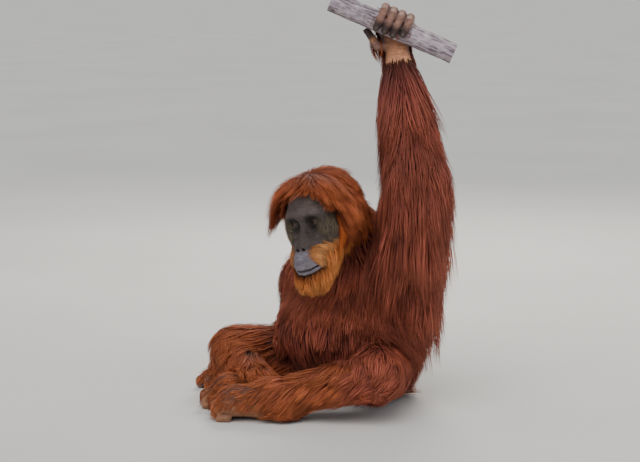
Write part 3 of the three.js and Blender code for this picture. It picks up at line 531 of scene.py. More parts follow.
def surface_of(values, low, cell):
    """The zero surface of a grid as places and four-sided faces."""
    grid = openvdb.FloatGrid(cell * 3)
    grid.copyFromArray(np.clip(values, -3 * cell, 3 * cell).astype(np.float32))
    grid.transform = openvdb.createLinearTransform(voxelSize=cell)
    places, quads = grid.convertToQuads(isovalue=0.0)
    return places.astype(float) + low, quads.astype(np.int64)


def settle(places, distance, passes=2):
    """Places moved on to the true surface."""
    step = 0.0006
    for _ in range(passes):
        away = distance(places)
        rise = [distance(places + step * axis) - distance(places - step * axis) for axis in np.eye(3)]
        slope = np.stack(rise, axis=1) / (2 * step)
        size = np.maximum((slope ** 2).sum(axis=1), 0.2)
        places = places - np.clip(away / size, -0.0015, 0.0015)[:, None] * slope
    return places


class Field:
    """A distance grid that is read between its points."""

    def __init__(self, values, low, cell):
        self.values = values
        self.low = low
        self.cell = cell

    def at(self, p):
        """The distance at places."""
        spot = np.clip((p - self.low) / self.cell, 0, np.array(self.values.shape) - 1.001)
        base = spot.astype(int)
        part = spot - base
        total = np.zeros(len(p))
        for corner in range(8):
            pick = np.array([(corner >> axis) & 1 for axis in range(3)])
            weight = np.prod(np.where(pick, part, 1 - part), axis=1)
            x, y, z = (base + pick).T
            total += weight * self.values[x, y, z]
        return total

    def slope(self, p):
        """The direction in which the distance rises at places."""
        step = self.cell * 0.8
        rise = [self.at(p + step * axis) - self.at(p - step * axis) for axis in np.eye(3)]
        return unit(np.stack(rise, axis=1))


def skin_surface(parts, rough, cell):
    """The skin as one mesh: a coarse body with fine shells for the head, the hands and the feet."""
    low = rough.low
    values = fine_grid(parts, rough, low, low + rough.cell * (np.array(rough.values.shape) - 1), cell)
    axes = [low[i] + cell * np.arange(values.shape[i]) for i in range(3)]
    for centre, radius, _ in FINE.values():
        first = [np.searchsorted(axes[i], centre[i] - radius) for i in range(3)]
        last = [np.searchsorted(axes[i], centre[i] + radius) for i in range(3)]
        block = tuple(slice(first[i], last[i]) for i in range(3))
        mesh = np.meshgrid(*[axes[i][block[i]] for i in range(3)], indexing="ij")
        inside = np.sqrt(sum((mesh[i] - centre[i]) ** 2 for i in range(3))) - (radius - OVERLAP)
        values[block] = np.maximum(values[block], -inside)
    shells = []
    places, quads = surface_of(values, low, cell)
    keep = np.ones(len(places), bool)
    for centre, radius, _ in FINE.values():
        keep &= reach(places, centre) > radius - OVERLAP - 0.5 * cell
    shells.append((places, quads[keep[quads].all(axis=1)], "body"))
    for name, (centre, radius, fine) in FINE.items():
        low = centre - radius - 3 * fine
        high = centre + radius + 3 * fine
        near = fine_grid(parts, rough, low, high, fine)
        mesh = np.meshgrid(*[low[i] + fine * np.arange(near.shape[i]) for i in range(3)], indexing="ij")
        around = np.sqrt(sum((mesh[i] - centre[i]) ** 2 for i in range(3))) - radius
        places, quads = surface_of(np.maximum(near, around), low, fine)
        inside = reach(places, centre) < radius - 1.5 * fine
        used = inside[quads].all(axis=1)
        places[inside] = settle(places[inside], lambda p: whole_distance(parts, p))
        shells.append((places, quads[used], name))
    return shells


def joined(shells):
    """Shells as one list of places and faces."""
    places, faces, owners = [], [], []
    total = 0
    for own_places, own_faces, name in shells:
        used = np.unique(own_faces)
        index = np.full(len(own_places), -1)
        index[used] = np.arange(len(used))
        places.append(own_places[used])
        faces.append(index[own_faces] + total)
        owners += [name] * len(used)
        total += len(used)
    return np.concatenate(places), np.concatenate(faces), np.array(owners)


def new_mesh(name, places, faces):
    """A mesh object from arrays; faces is a list of arrays, each with its own number of corners."""
    mesh = bpy.data.meshes.new(name)
    places = np.asarray(places, np.float32)
    mesh.vertices.add(len(places))
    mesh.vertices.foreach_set("co", places.ravel())
    corners = np.concatenate([part.ravel() for part in faces]).astype(np.int32)
    sizes = np.concatenate([np.full(len(part), part.shape[1]) for part in faces])
    starts = np.concatenate([[0], np.cumsum(sizes)[:-1]]).astype(np.int32)
    mesh.loops.add(len(corners))
    mesh.loops.foreach_set("vertex_index", corners)
    mesh.polygons.add(len(sizes))
    mesh.polygons.foreach_set("loop_start", starts)
    mesh.polygons.foreach_set("use_smooth", np.ones(len(sizes), bool))
    mesh.update(calc_edges=True)
    obj = bpy.data.objects.new(name, mesh)
    bpy.context.scene.collection.objects.link(obj)
    return obj


def face_out(places, quads):
    """Faces turned so that the surface points outwards."""
    first, second, third = places[quads[:, 0]], places[quads[:, 1]], places[quads[:, 2]]
    volume = np.einsum("ij,ij->i", first, np.cross(second, third)).sum()
    return quads if volume > 0 else quads[:, ::-1]


def paint(obj, name, values):
    """A colour for each place of a mesh, kept as an attribute."""
    layer = obj.data.attributes.new(name, "FLOAT_COLOR", "POINT")
    colours = np.ones((len(values), 4), np.float32)
    colours[:, :3] = values
    layer.data.foreach_set("color", colours.ravel())


def mark(obj, name, values):
    """A number for each place of a mesh, kept as an attribute."""
    layer = obj.data.attributes.new(name, "FLOAT", "POINT")
    layer.data.foreach_set("value", np.asarray(values, np.float32))


def shade(*parts):
    """A colour as the shader has it, from the red, green and blue that an eye sees, of 255."""
    seen = np.array(parts) / 255
    return tuple(np.where(seen <= 0.04045, seen / 12.92, ((seen + 0.055) / 1.055) ** 2.4))


class Link:
    """A value in a node tree that Python's operators work on."""

    def __init__(self, graph, socket):
        self.graph = graph
        self.socket = socket

    def maths(self, operation, first, second):
        """A maths node on two values."""
        return self.graph.add("ShaderNodeMath", {"operation": operation}, {0: first, 1: second})

    def __add__(self, other):
        return self.maths("ADD", self, other)

    def __radd__(self, other):
        return self.maths("ADD", other, self)

    def __sub__(self, other):
        return self.maths("SUBTRACT", self, other)

    def __rsub__(self, other):
        return self.maths("SUBTRACT", other, self)

    def __mul__(self, other):
        return self.maths("MULTIPLY", self, other)

    def __rmul__(self, other):
        return self.maths("MULTIPLY", other, self)

    def __truediv__(self, other):
        return self.maths("DIVIDE", self, other)

    def __rtruediv__(self, other):
        return self.maths("DIVIDE", other, self)

    def __pow__(self, other):
        return self.maths("POWER", self, other)


class Graph:
    """A node tree with one way to make a node."""

    def __init__(self, tree):
        self.tree = tree

    def add(self, kind, settings=None, inputs=None, output=0):
        """A node of a type, its settings first and then its sockets; gives one of its outputs."""
        node = self.tree.nodes.new(kind)
        for key, value in (settings or {}).items():
            if key == "stops":
                ramp = node.color_ramp
                while len(ramp.elements) < len(value):
                    ramp.elements.new(0.5)
                for element, (spot, colour) in zip(ramp.elements, value):
                    element.position = spot
                    element.color = (*colour, 1)
            else:
                setattr(node, key, value)
        for key, value in (inputs or {}).items():
            socket = node.inputs[key]
            if isinstance(value, Link):
                self.tree.links.new(value.socket, socket)
            else:
                socket.default_value = value
        return Link(self, node.outputs[output])

    def vector(self, operation, inputs, output=0):
        """A sum on vectors."""
        return self.add("ShaderNodeVectorMath", {"operation": operation}, inputs, output)

    def colours(self, factor, first, second, blend="MIX"):
        """Two colours mixed."""
        fixed = [value if isinstance(value, Link) else (*value, 1) for value in (first, second)]
        return self.add(
            "ShaderNodeMix", {"data_type": "RGBA", "blend_type": blend, "clamp_factor": True},
            {0: factor, 6: fixed[0], 7: fixed[1]}, 2,
        )

    def noise(self, vector, scale, detail=3.0, roughness=0.5, output=0):
        """Soft noise on a vector."""
        return self.add(
            "ShaderNodeTexNoise", None,
            {"Vector": vector, "Scale": scale, "Detail": detail, "Roughness": roughness}, output,
        )

    def range(self, value, low, high, first=0.0, last=1.0):
        """A number from one range to another, held at its ends."""
        return self.add(
            "ShaderNodeMapRange", {"clamp": True}, {0: value, 1: low, 2: high, 3: first, 4: last},
        )

    def bump(self, height, strength, distance, normal=None):
        """A normal pushed by a height, in metres."""
        inputs = {"Height": height, "Strength": strength, "Distance": distance}
        if normal is not None:
            inputs["Normal"] = normal
        return self.add("ShaderNodeBump", None, inputs)


def new_material(name, build, **fixed):
    """A material from a function that gives the linked sockets; fixed holds the shader's own numbers."""
    material = bpy.data.materials.new(name)
    material.use_nodes = True
    tree = material.node_tree
    tree.nodes.clear()
    graph = Graph(tree)
    shader = tree.nodes.new("ShaderNodeBsdfPrincipled")
    for key, value in fixed.items():
        shader.inputs[key.replace("_", " ").title().replace("Ior", "IOR")].default_value = value
    for key, value in build(graph).items():
        tree.links.new(value.socket, shader.inputs[key])
    out = tree.nodes.new("ShaderNodeOutputMaterial")
    tree.links.new(shader.outputs[0], out.inputs[0])
    return material


def skin_nodes(graph):
    """Wrinkled, pored skin over its painted colours."""
    spot = graph.add("ShaderNodeTexCoord", output=3)
    tint = graph.add("ShaderNodeAttribute", {"attribute_name": "Tint"})
    patches = graph.noise(spot, 42.0, 4.0)
    mottle = graph.noise(spot, 260.0, 3.0)
    shift = graph.noise(spot, 120.0, 3.0, output=1)
    uneven = graph.add("ShaderNodeMix", {"data_type": "VECTOR"}, {0: 0.012, 4: spot, 5: shift}, 1)
    creases = graph.add(
        "ShaderNodeTexVoronoi", {"feature": "DISTANCE_TO_EDGE"}, {"Vector": uneven, "Scale": 330.0},
    )
    crease = graph.range(creases, 0.0, 0.11)
    base = graph.colours(graph.range(patches, 0.35, 0.7) * 0.6, tint, (0.55, 0.50, 0.48), "MULTIPLY")
    base = graph.colours(graph.range(mottle, 0.45, 0.75) * 0.8, base, (1.5, 1.42, 1.38), "MULTIPLY")
    across = graph.add("ShaderNodeMapping", None, {"Vector": spot, "Scale": (0.3, 0.3, 1.0)})
    folds = graph.range(graph.noise(across, 170.0, 3.0, 0.55), 0.38, 0.55)
    base = graph.colours((1 - folds) * 0.5, base, (0.58, 0.54, 0.53), "MULTIPLY")
    base = graph.colours((1 - crease) * 0.4, base, (0.5, 0.45, 0.45), "MULTIPLY")
    wrinkles = graph.noise(spot, 150.0, 5.0, 0.6)
    bumps = graph.bump(wrinkles, 0.75, 0.0026)
    bumps = graph.bump(crease, 0.7, 0.0007, bumps)
    bumps = graph.bump(folds, 0.6, 0.0012, bumps)
    rough = graph.range(mottle, 0.3, 0.7, 0.50, 0.72)
    return {"Base Color": base, "Roughness": rough, "Normal": bumps}


def coat_nodes(graph):
    """Hair: each tuft's own colour, with fine strands along it and a darker root."""
    spot = graph.add("ShaderNodeTexCoord", output=3)
    tint = graph.add("ShaderNodeAttribute", {"attribute_name": "Tint"})
    strand = graph.add("ShaderNodeAttribute", {"attribute_name": "Strand"}, output=1)
    lines = graph.noise(strand, 7.0, 3.0, 0.6)
    patch = graph.noise(spot, 26.0, 3.0)
    base = graph.colours(graph.range(lines, 0.4, 0.68) * 0.45, tint, (1.6, 1.5, 1.35), "MULTIPLY")
    base = graph.colours(graph.range(patch, 0.4, 0.7) * 0.35, base, (0.72, 0.66, 0.62), "MULTIPLY")
    bumps = graph.bump(lines, 0.5, 0.0008)
    rough = graph.range(lines, 0.3, 0.7, 0.5, 0.7)
    return {"Base Color": base, "Roughness": rough, "Normal": bumps}


def eye_nodes(graph):
    """A dark brown iris with spokes, a black pupil and a brown white."""
    spot = graph.add("ShaderNodeTexCoord", output=3)
    angle = graph.add("ShaderNodeAttribute", {"attribute_name": "Off axis"}, output=2)
    spokes = graph.noise(spot, 1400.0, 4.0, 0.7)
    iris = graph.colours(graph.range(spokes, 0.35, 0.7), shade(44, 22, 12), shade(96, 52, 24))
    ring = graph.range(angle, 26.0, 31.0)
    iris = graph.colours(ring, iris, shade(24, 12, 8))
    clouds = graph.range(graph.noise(spot, 320.0), 0.4, 0.7)
    white = graph.colours(clouds, shade(44, 30, 26), shade(78, 58, 50))
    base = graph.colours(graph.range(angle, 31.0, 34.5), iris, white)
    base = graph.colours(1 - graph.range(angle, 10.5, 12.5), base, shade(6, 4, 4))
    rough = graph.range(angle, 30.0, 60.0, 0.06, 0.22)
    return {"Base Color": base, "Roughness": rough}


def nail_nodes(graph):
    """Dark horn with fine ridges, in paler and darker patches."""
    spot = graph.add("ShaderNodeTexCoord", output=3)
    ridges = graph.noise(spot, 900.0, 2.0)
    patch = graph.noise(spot, 180.0, 3.0)
    base = graph.colours(graph.range(patch, 0.35, 0.7), shade(38, 30, 28), shade(86, 70, 60))
    return {
        "Base Color": base,
        "Roughness": graph.range(ridges, 0.3, 0.7, 0.28, 0.48),
        "Normal": graph.bump(ridges, 0.35, 0.0003),
    }


def bark_nodes(graph):
    """Weathered bark: grey with a purple cast, cracked along the grain, with pale patches."""
    spot = graph.add("ShaderNodeTexCoord", output=3)
    tilt = Vector(BRANCH_WAY).to_track_quat("Z", "Y").inverted().to_euler()
    grain = graph.add(
        "ShaderNodeMapping", {"vector_type": "POINT"}, {"Vector": spot, "Rotation": tuple(tilt)},
    )
    long = graph.add("ShaderNodeMapping", None, {"Vector": grain, "Scale": (1.0, 1.0, 0.16)})
    cracks = graph.noise(long, 190.0, 5.0, 0.65)
    fine = graph.noise(long, 620.0, 3.0, 0.6)
    patch = graph.noise(spot, 38.0, 4.0, 0.6)
    crack = graph.range(cracks, 0.34, 0.5)
    base = graph.colours(graph.range(cracks, 0.35, 0.7), shade(112, 98, 106), shade(186, 172, 182))
    base = graph.colours(graph.range(patch, 0.5, 0.68) * 0.7, base, shade(206, 194, 196))
    base = graph.colours((1 - crack) * 0.7, base, shade(70, 56, 60))
    normal = graph.bump(crack, 0.7, 0.0016)
    normal = graph.bump(fine, 0.5, 0.0007, normal)
    return {"Base Color": base, "Roughness": graph.range(fine, 0.3, 0.7, 0.72, 0.92), "Normal": normal}


def floor_nodes(graph):
    """A plain pale floor."""
    spot = graph.add("ShaderNodeTexCoord", output=3)
    tone = graph.range(graph.noise(spot, 1.2, 2.0), 0.3, 0.7)
    return {"Base Color": graph.colours(tone, (0.60, 0.59, 0.57), (0.64, 0.63, 0.61))}


# Axes of the hairy parts, from the root of each to its end
AXES = {
    "torso_lower": (SEAT, BELLY + UP * 0.06),
    "torso_upper": (BELLY, NAPE),
    "neck": (NAPE, on_head(0, 30, -6)),
    "upper_arm_left": (SHOULDER_LEFT, ELBOW_LEFT),
    "forearm_left": (ELBOW_LEFT, WRIST_LEFT),
    "upper_arm_right": (SHOULDER_RIGHT, ELBOW_RIGHT),
    "forearm_right": (ELBOW_RIGHT, WRIST_RIGHT),
    "thigh_left": (HIP_LEFT, KNEE_LEFT),
    "thigh_right": (HIP_RIGHT, KNEE_RIGHT),
    "shin_left": (KNEE_LEFT, ANKLE_LEFT),
    "shin_right": (KNEE_RIGHT, ANKLE_RIGHT),
    "head": (on_head(0, 0, -60), on_head(0, 0, 60)),
    "hand_left": (WRIST_LEFT, BRANCH_AT),
    "hand_right": (WRIST_RIGHT, WRIST_RIGHT + REST_WAY * 0.1),
    "foot_left": (ANKLE_LEFT, feet["left"][2]),
    "foot_right": (ANKLE_RIGHT, feet["right"][2]),
}


def hanging(outward, onward=0.0):
    """Hair that hangs, first a little outwards and along the part."""
    return lambda p, normal, way: normal * outward + way * onward + DOWN


def combed(share, outward=0.1):
    """Hair that lies along the part, or against it where the share is below nought."""
    return lambda p, normal, way: way * share + normal * outward + DOWN * 0.35


def crown_lie(p, normal, way):
    """Hair of the head: out from the crown, parted over the face, down at the cheeks and the chin."""
    q = in_head(p)
    side = np.sign(q[:, 0])
    flat = unit(ways(q[:, 0] * 1.2, (q[:, 1] - 6) * 0.8 + 14, 0))
    top = flat + place(0, 0, -0.4)
    front = ways(side, 0.25, -0.55)
    cheek = ways(side * 0.18, -0.12, -1)
    chin = ways(q[:, 0] * 0.012, -0.6, -1)
    ahead = smooth(0, -38, q[:, 1])[:, None]
    low = smooth(30, -12, q[:, 2])[:, None]
    beard = smooth(-70, -95, q[:, 2])[:, None]
    lie = mix(top, front, ahead)
    lie = mix(lie, cheek, low)
    return unit(mix(lie, chin, beard)) @ HEAD_TURN.T


def crown_mask(p, normal):
    """Where the head is hairy: behind the hairline, on the cheeks' sides and below the mouth."""
    q = in_head(p)
    x, y, z = np.abs(q[:, 0]), q[:, 1], q[:, 2]
    behind = smooth(-50, -40, y + 0.002 * (x - 20) ** 2)
    chin = smooth(-9, -13, z - mouth_height(x))
    cheek = smooth(40, 46, x + 0.08 * np.minimum(0, z + 60)) * smooth(-36, -60, z) * smooth(-98, -88, y)
    ear = smooth(24, 30, reach(q, (0, 6, 6), (0, 1, 1)) + 60 * smooth(78, 70, x))
    return np.maximum(np.maximum(behind, chin), cheek) * ear


def chin_only(p, normal):
    """The beard: from below the mouth round to the lower cheeks."""
    q = in_head(p)
    return crown_mask(p, normal) * (q[:, 2] < -42)


def crown_only(p, normal):
    """All hair of the head above the beard, denser round the whorl."""
    q = in_head(p)
    whorl = reach(q, (0, 6, 0), FLAT)
    edge = smooth(-6, -16, q[:, 1]) * smooth(16, 6, q[:, 2])
    return crown_mask(p, normal) * (q[:, 2] >= -46) * mix(2.6, 1.0, smooth(5, 45, whorl)) * (1 - edge)


def fringe_only(p, normal):
    """The hair over the forehead."""
    q = in_head(p)
    parting = mix(2.2, 1.0, smooth(6, 22, np.abs(q[:, 0])))
    return smooth(-50, -44, q[:, 1]) * smooth(-4, -20, q[:, 1]) * smooth(24, 40, q[:, 2]) * parting


def whorl_only(p, normal):
    """The middle of the crown, where the hair parts."""
    q = in_head(p)
    return smooth(52, 30, reach(q, (0, -4, 0), FLAT)) * smooth(40, 60, q[:, 2])


def hairline_only(p, normal):
    """The top edge of the forehead."""
    q = in_head(p)
    return smooth(-52, -46, q[:, 1]) * smooth(-24, -34, q[:, 1]) * smooth(30, 48, q[:, 2])


def wrist_only(wrist, palm):
    """A band round a wrist, bare on the palm's side."""
    return lambda p, normal: smooth(0.046, 0.030, reach(p, wrist)) * smooth(0.5, 0.1, normal @ palm)


def sideburn_only(p, normal):
    """The edge of the face from the temple to the cheek."""
    q = in_head(p)
    front = smooth(-2, -12, q[:, 1]) * smooth(24, 12, q[:, 2]) * smooth(-50, -44, q[:, 2])
    return crown_mask(p, normal) * front


def moustache_only(p, normal):
    """Both sides of the upper lip, beside the bare middle."""
    q = in_head(p)
    x, y, z = np.abs(q[:, 0]), q[:, 1], q[:, 2]
    above = smooth(7, 15, z - mouth_height(x))
    inner = 34 - 18 * smooth(-82, -56, z)
    return above * smooth(inner - 8, inner + 14, x) * smooth(-34, -50, z) * smooth(-50, -72, y)


def temple_only(p, normal):
    """The bare side of the face, where only thin pale hairs grow."""
    q = in_head(p)
    x, y, z = np.abs(q[:, 0]), q[:, 1], q[:, 2]
    return smooth(36, 46, x) * smooth(-44, -52, y) * smooth(34, 20, z) * smooth(-60, -40, z)


def fringe_lie(p, normal, way):
    """Out to both sides from the middle of the forehead, a little forward."""
    q = in_head(p)
    side = np.tanh(q[:, 0] / 10)
    return unit(ways(side, -0.18, 0.20)) @ HEAD_TURN.T


def forehead_lie(p, normal, way):
    """Forward over the forehead, spreading to both sides."""
    q = in_head(p)
    side = np.tanh(q[:, 0] / 25)
    return unit(ways(side * 0.7, -1, 0.15)) @ HEAD_TURN.T


def moustache_lie(p, normal, way):
    """Out and back from the nose, and down past the mouth's corner."""
    q = in_head(p)
    side = np.sign(q[:, 0])
    return unit(ways(side * 0.62, 0.62, -0.30)) @ HEAD_TURN.T


def temple_lie(p, normal, way):
    """Down the cheek."""
    return np.tile(head_way(0, -0.1, -1), (len(p), 1))


def back_of(part, way, least=0.15, bare=2):
    """The back of a hand or a foot; its digits are bare from the given point on."""
    kinds = ("finger", "thumb") if part.startswith("hand") else ("toe", "big_toe")
    ends = [
        point for name, (points, _) in digits.items()
        if name.startswith(kinds) and part.split("_")[1] in name for point in points[bare:]
    ]

    def where(p, normal):
        near = np.min([reach(p, point) for point in ends], axis=0)
        return smooth(least - 0.2, least + 0.2, normal @ way) * smooth(0.012, 0.026, near)

    return where


def everywhere(p, normal):
    """All of a part."""
    return np.ones(len(p))


def behind(p, normal):
    """The back of the trunk."""
    return smooth(-0.25, 0.15, normal[:, 1])


def before(p, normal):
    """The front of the trunk, thinner on the belly."""
    belly = reach(p, BELLY, (1, 0, 1))
    return smooth(0.15, -0.25, normal[:, 1]) * mix(0.55, 1.0, smooth(0.04, 0.12, belly))


# Hair's colours at the root, in the middle and at the tip
COAT_SHADES = {
    "body": (shade(56, 28, 25), shade(134, 67, 54), shade(170, 92, 66)),
    "arm": (shade(52, 27, 25), shade(128, 64, 54), shade(166, 90, 68)),
    "leg": (shade(58, 29, 23), shade(144, 74, 48), shade(184, 104, 62)),
    "crown": (shade(66, 32, 24), shade(150, 74, 46), shade(192, 106, 62)),
    "beard": (shade(110, 60, 34), shade(194, 114, 56), shade(224, 152, 88)),
    "moustache": (shade(118, 78, 50), shade(188, 124, 72), shade(220, 162, 106)),
    "sideburn": (shade(96, 44, 24), shade(188, 92, 40), shade(220, 124, 60)),
    "temple": (shade(76, 66, 56), shade(118, 104, 84), shade(142, 126, 100)),
    "hand": (shade(70, 36, 26), shade(150, 78, 46), shade(186, 108, 62)),
}

# Strips of the coat. Each has its piece, the part it grows on, its number of tufts, and their length and
# width in millimetres. Then come how the hair lies, where it grows, and how high it rises off the skin in
# millimetres. Cling is how far hair that stands higher is drawn down, fall how much it drops, and stray
# how untidy it is. End is its length at the part's far end, as a share. Bend gives a joint that the hair
# turns round, between the places above and below it.
STRIPS = [
    dict(piece="coat_back", part="torso_upper", count=4200, length=165, width=3.0, lie=hanging(0.16),
         where=behind, rise=32, cling=0.65, shades="body"),
    dict(piece="coat_back", part="torso_lower", count=2400, length=125, width=3.0, lie=hanging(0.16),
         where=behind, rise=26, cling=0.75, shades="body"),
    dict(piece="coat_front", part="torso_upper", count=3600, length=130, width=2.8, lie=hanging(0.14),
         where=before, rise=26, cling=0.75, shades="body"),
    dict(piece="coat_front", part="torso_lower", count=2500, length=95, width=2.8, lie=hanging(0.14),
         where=before, rise=24, cling=0.8, shades="body"),
    dict(piece="coat_front", part="neck", count=800, length=105, width=2.8, lie=combed(-0.8, 0.2),
         where=everywhere, rise=28, cling=0.7, shades="body"),
    dict(piece="coat_upper_arm_left", part="upper_arm_left", count=6650, length=235, width=3.0,
         lie=hanging(0.32), where=everywhere, rise=52, cling=0.12, shades="arm"),
    dict(piece="coat_forearm_left", part="forearm_left", count=6400, length=190, width=2.9,
         lie=combed(-1.0, 0.42), where=everywhere, rise=56, cling=0.1, fall=0.9, shades="arm"),
    dict(piece="coat_arm_right", part="upper_arm_right", count=4000, length=140, width=2.9,
         lie=combed(0.6, 0.15), where=everywhere, rise=26, cling=0.75, shades="arm", end=0.3),
    dict(piece="coat_arm_right", part="forearm_right", count=2400, length=90, width=2.7,
         lie=combed(-0.8, 0.1), where=everywhere, rise=20, cling=0.85, shades="arm"),
    dict(piece="coat_leg_left", part="thigh_left", count=3450, length=118, width=2.9,
         lie=combed(0.9, 0.12), where=everywhere, rise=23, cling=0.85, shades="body",
         bend=(HIP_LEFT, KNEE_LEFT, ANKLE_LEFT)),
    dict(piece="coat_leg_left", part="shin_left", count=3000, length=95, width=2.7,
         lie=combed(0.9, 0.12), where=everywhere, rise=21, cling=0.8, shades="leg",
         bend=(HIP_LEFT, KNEE_LEFT, ANKLE_LEFT)),
    dict(piece="coat_leg_right", part="thigh_right", count=3450, length=118, width=2.9,
         lie=combed(0.9, 0.12), where=everywhere, rise=23, cling=0.85, shades="leg",
         bend=(HIP_RIGHT, KNEE_RIGHT, ANKLE_RIGHT)),
    dict(piece="coat_leg_right", part="shin_right", count=3000, length=90, width=2.7,
         lie=combed(0.9, 0.14), where=everywhere, rise=21, cling=0.8, shades="leg",
         bend=(HIP_RIGHT, KNEE_RIGHT, ANKLE_RIGHT)),
    dict(piece="coat_crown", part="head", count=6100, length=88, width=2.1, lie=crown_lie,
         where=crown_only, rise=32, cling=0.65, shades="crown", stray=0.07),
    dict(piece="coat_fringe", part="head", count=1800, length=106, width=2.1, lie=fringe_lie,
         where=fringe_only, rise=58, cling=0.12, fall=1.5, shades="crown", stray=0.06),
    dict(piece="coat_fringe", part="head", count=1000, length=52, width=2.2, lie=crown_lie,
         where=whorl_only, rise=22, cling=0.6, shades="crown", stray=0.18),
    dict(piece="coat_fringe", part="head", count=650, length=44, width=1.8, lie=forehead_lie,
         where=hairline_only, rise=20, cling=0.4, fall=1.6, shades="crown", stray=0.14),
    dict(piece="coat_crown", part="head", count=700, length=58, width=1.9, lie=crown_lie,
         where=sideburn_only, rise=18, cling=0.6, shades="sideburn"),
    dict(piece="coat_beard", part="head", count=3300, length=62, width=1.7, lie=crown_lie,
         where=chin_only, rise=20, cling=0.25, shades="beard", stray=0.16),
    dict(piece="coat_beard", part="head", count=1700, length=40, width=1.15, lie=moustache_lie,
         where=moustache_only, rise=8, cling=0.75, shades="moustache", stray=0.14),
    dict(piece="coat_beard", part="head", count=650, length=23, width=0.5, lie=temple_lie,
         where=temple_only, rise=3, cling=0.9, shades="temple"),
    dict(piece="coat_hands_and_feet", part="hand_left", count=1300, length=66, width=1.9,
         lie=combed(-0.9, 0.25), where=back_of("hand_left", -HAND_FRONT, 0.0, 1), rise=20, cling=0.5,
         shades="hand"),
    dict(piece="coat_hands_and_feet", part="hand_left", count=380, length=62, width=1.9,
         lie=combed(-1.0, 0.3), where=wrist_only(WRIST_LEFT, HAND_FRONT), rise=20, cling=0.4, shades="arm",
         stray=0.18),
    dict(piece="coat_hands_and_feet", part="hand_right", count=600, length=44, width=1.9,
         lie=combed(-0.9, 0.1), where=wrist_only(WRIST_RIGHT, DOWN), rise=12, cling=0.8, shades="arm",
         stray=0.2),
    dict(piece="coat_hands_and_feet", part="hand_right", count=1100, length=34, width=1.8,
         lie=combed(0.9, 0.1), where=back_of("hand_right", UP, 0.3), rise=6, cling=0.9,
         shades="hand"),
    dict(piece="coat_hands_and_feet", part="foot_left", count=1600, length=36, width=1.8,
         lie=combed(0.9, 0.1), where=back_of("foot_left", UP, -0.15), rise=7, cling=0.9,
         shades="hand"),
    dict(piece="coat_hands_and_feet", part="foot_right", count=1400, length=34, width=1.8,
         lie=combed(0.9, 0.1), where=back_of("foot_right", UP, -0.15), rise=7, cling=0.9,
         shades="hand"),
]

# What a strip has where it doesn't say
FALL = 0.6
STRAY = 0.10

# Locks: how far tufts are drawn together, how many make a lock, and the fewest locks of a strip
GATHER = 0.62
LOCK_TUFTS = 26
FEWEST_LOCKS = 12

# A tuft's number of lengths, how deep its root is sunk, and how near the floor it may come
STEPS = 4
SUNK = 0.003
LOWEST_ROOT = 0.010
LOWEST_BEND = 0.004
LOWEST_HAIR = 0.003

# The first strip's random number, and half the width of each tuft's own patch of the bake map
SEED = 900
PATCH_HALF = 0.0014


def trace(field, roots, lie, length, fall, cling, rise):
    """Courses of tufts: out of the skin, along their lie, bending down under their own weight."""
    normal = field.slope(roots)
    points = [roots - normal * SUNK]
    normals = [normal]
    heading = unit(lie)
    p = roots.copy()
    for step in range(1, STEPS + 1):
        out = field.slope(p)
        heading = unit(heading + DOWN * fall / STEPS)
        into = (heading * out).sum(axis=1)
        flat = unit(heading + out * np.where(into < 0, -into, -into * cling)[:, None])
        p = p + flat * (length / STEPS)[:, None]
        gap = rise * (step / STEPS) ** 0.8 - field.at(p)
        away = field.slope(p)
        p = p + away * np.clip(np.where(gap > 0, gap, gap * cling), -0.02, 0.05)[:, None]
        p[:, 2] = np.maximum(p[:, 2], LOWEST_BEND)
        points.append(p)
        normals.append(unit(away + 0.15 * normals[-1]))
    return np.stack(points), np.stack(normals)


def nearest(places, guides, at_once=2000):
    """The number of the guide nearest to each place."""
    found = np.empty(len(places), int)
    for start in range(0, len(places), at_once):
        part = places[start:start + at_once]
        apart = ((part[:, None, :] - guides[None, :, :]) ** 2).sum(axis=2)
        found[start:start + at_once] = apart.argmin(axis=1)
    return found


def lie_of(strip, roots, normals, way):
    """Which way a strip's hair lies at its roots, turning with a joint where it names one."""
    lie = unit(strip["lie"](roots, normals, way))
    if "bend" in strip:
        above, joint, below = strip["bend"]
        upper, lower = unit(joint - above), unit(below - joint)
        turn = smooth(0.0, 0.7, normals @ upper)[:, None]
        near = smooth(0.120, 0.060, reach(roots, joint))[:, None]
        lie = unit(mix(lie, mix(upper, lower, turn) + normals * 0.15, near))
    return lie


def gather(points, roots):
    """Draw tufts together into locks; gives the number of locks and each tuft's own."""
    locks = max(FEWEST_LOCKS, int(len(roots) / LOCK_TUFTS))
    own = nearest(roots, roots[:locks])
    offset = roots - roots[own]
    for step in range(1, STEPS + 1):
        along = step / STEPS
        met = points[step][own] + offset * (1 - 0.75 * along)
        points[step] = mix(points[step], met, GATHER * along ** 1.3)
    return locks, own


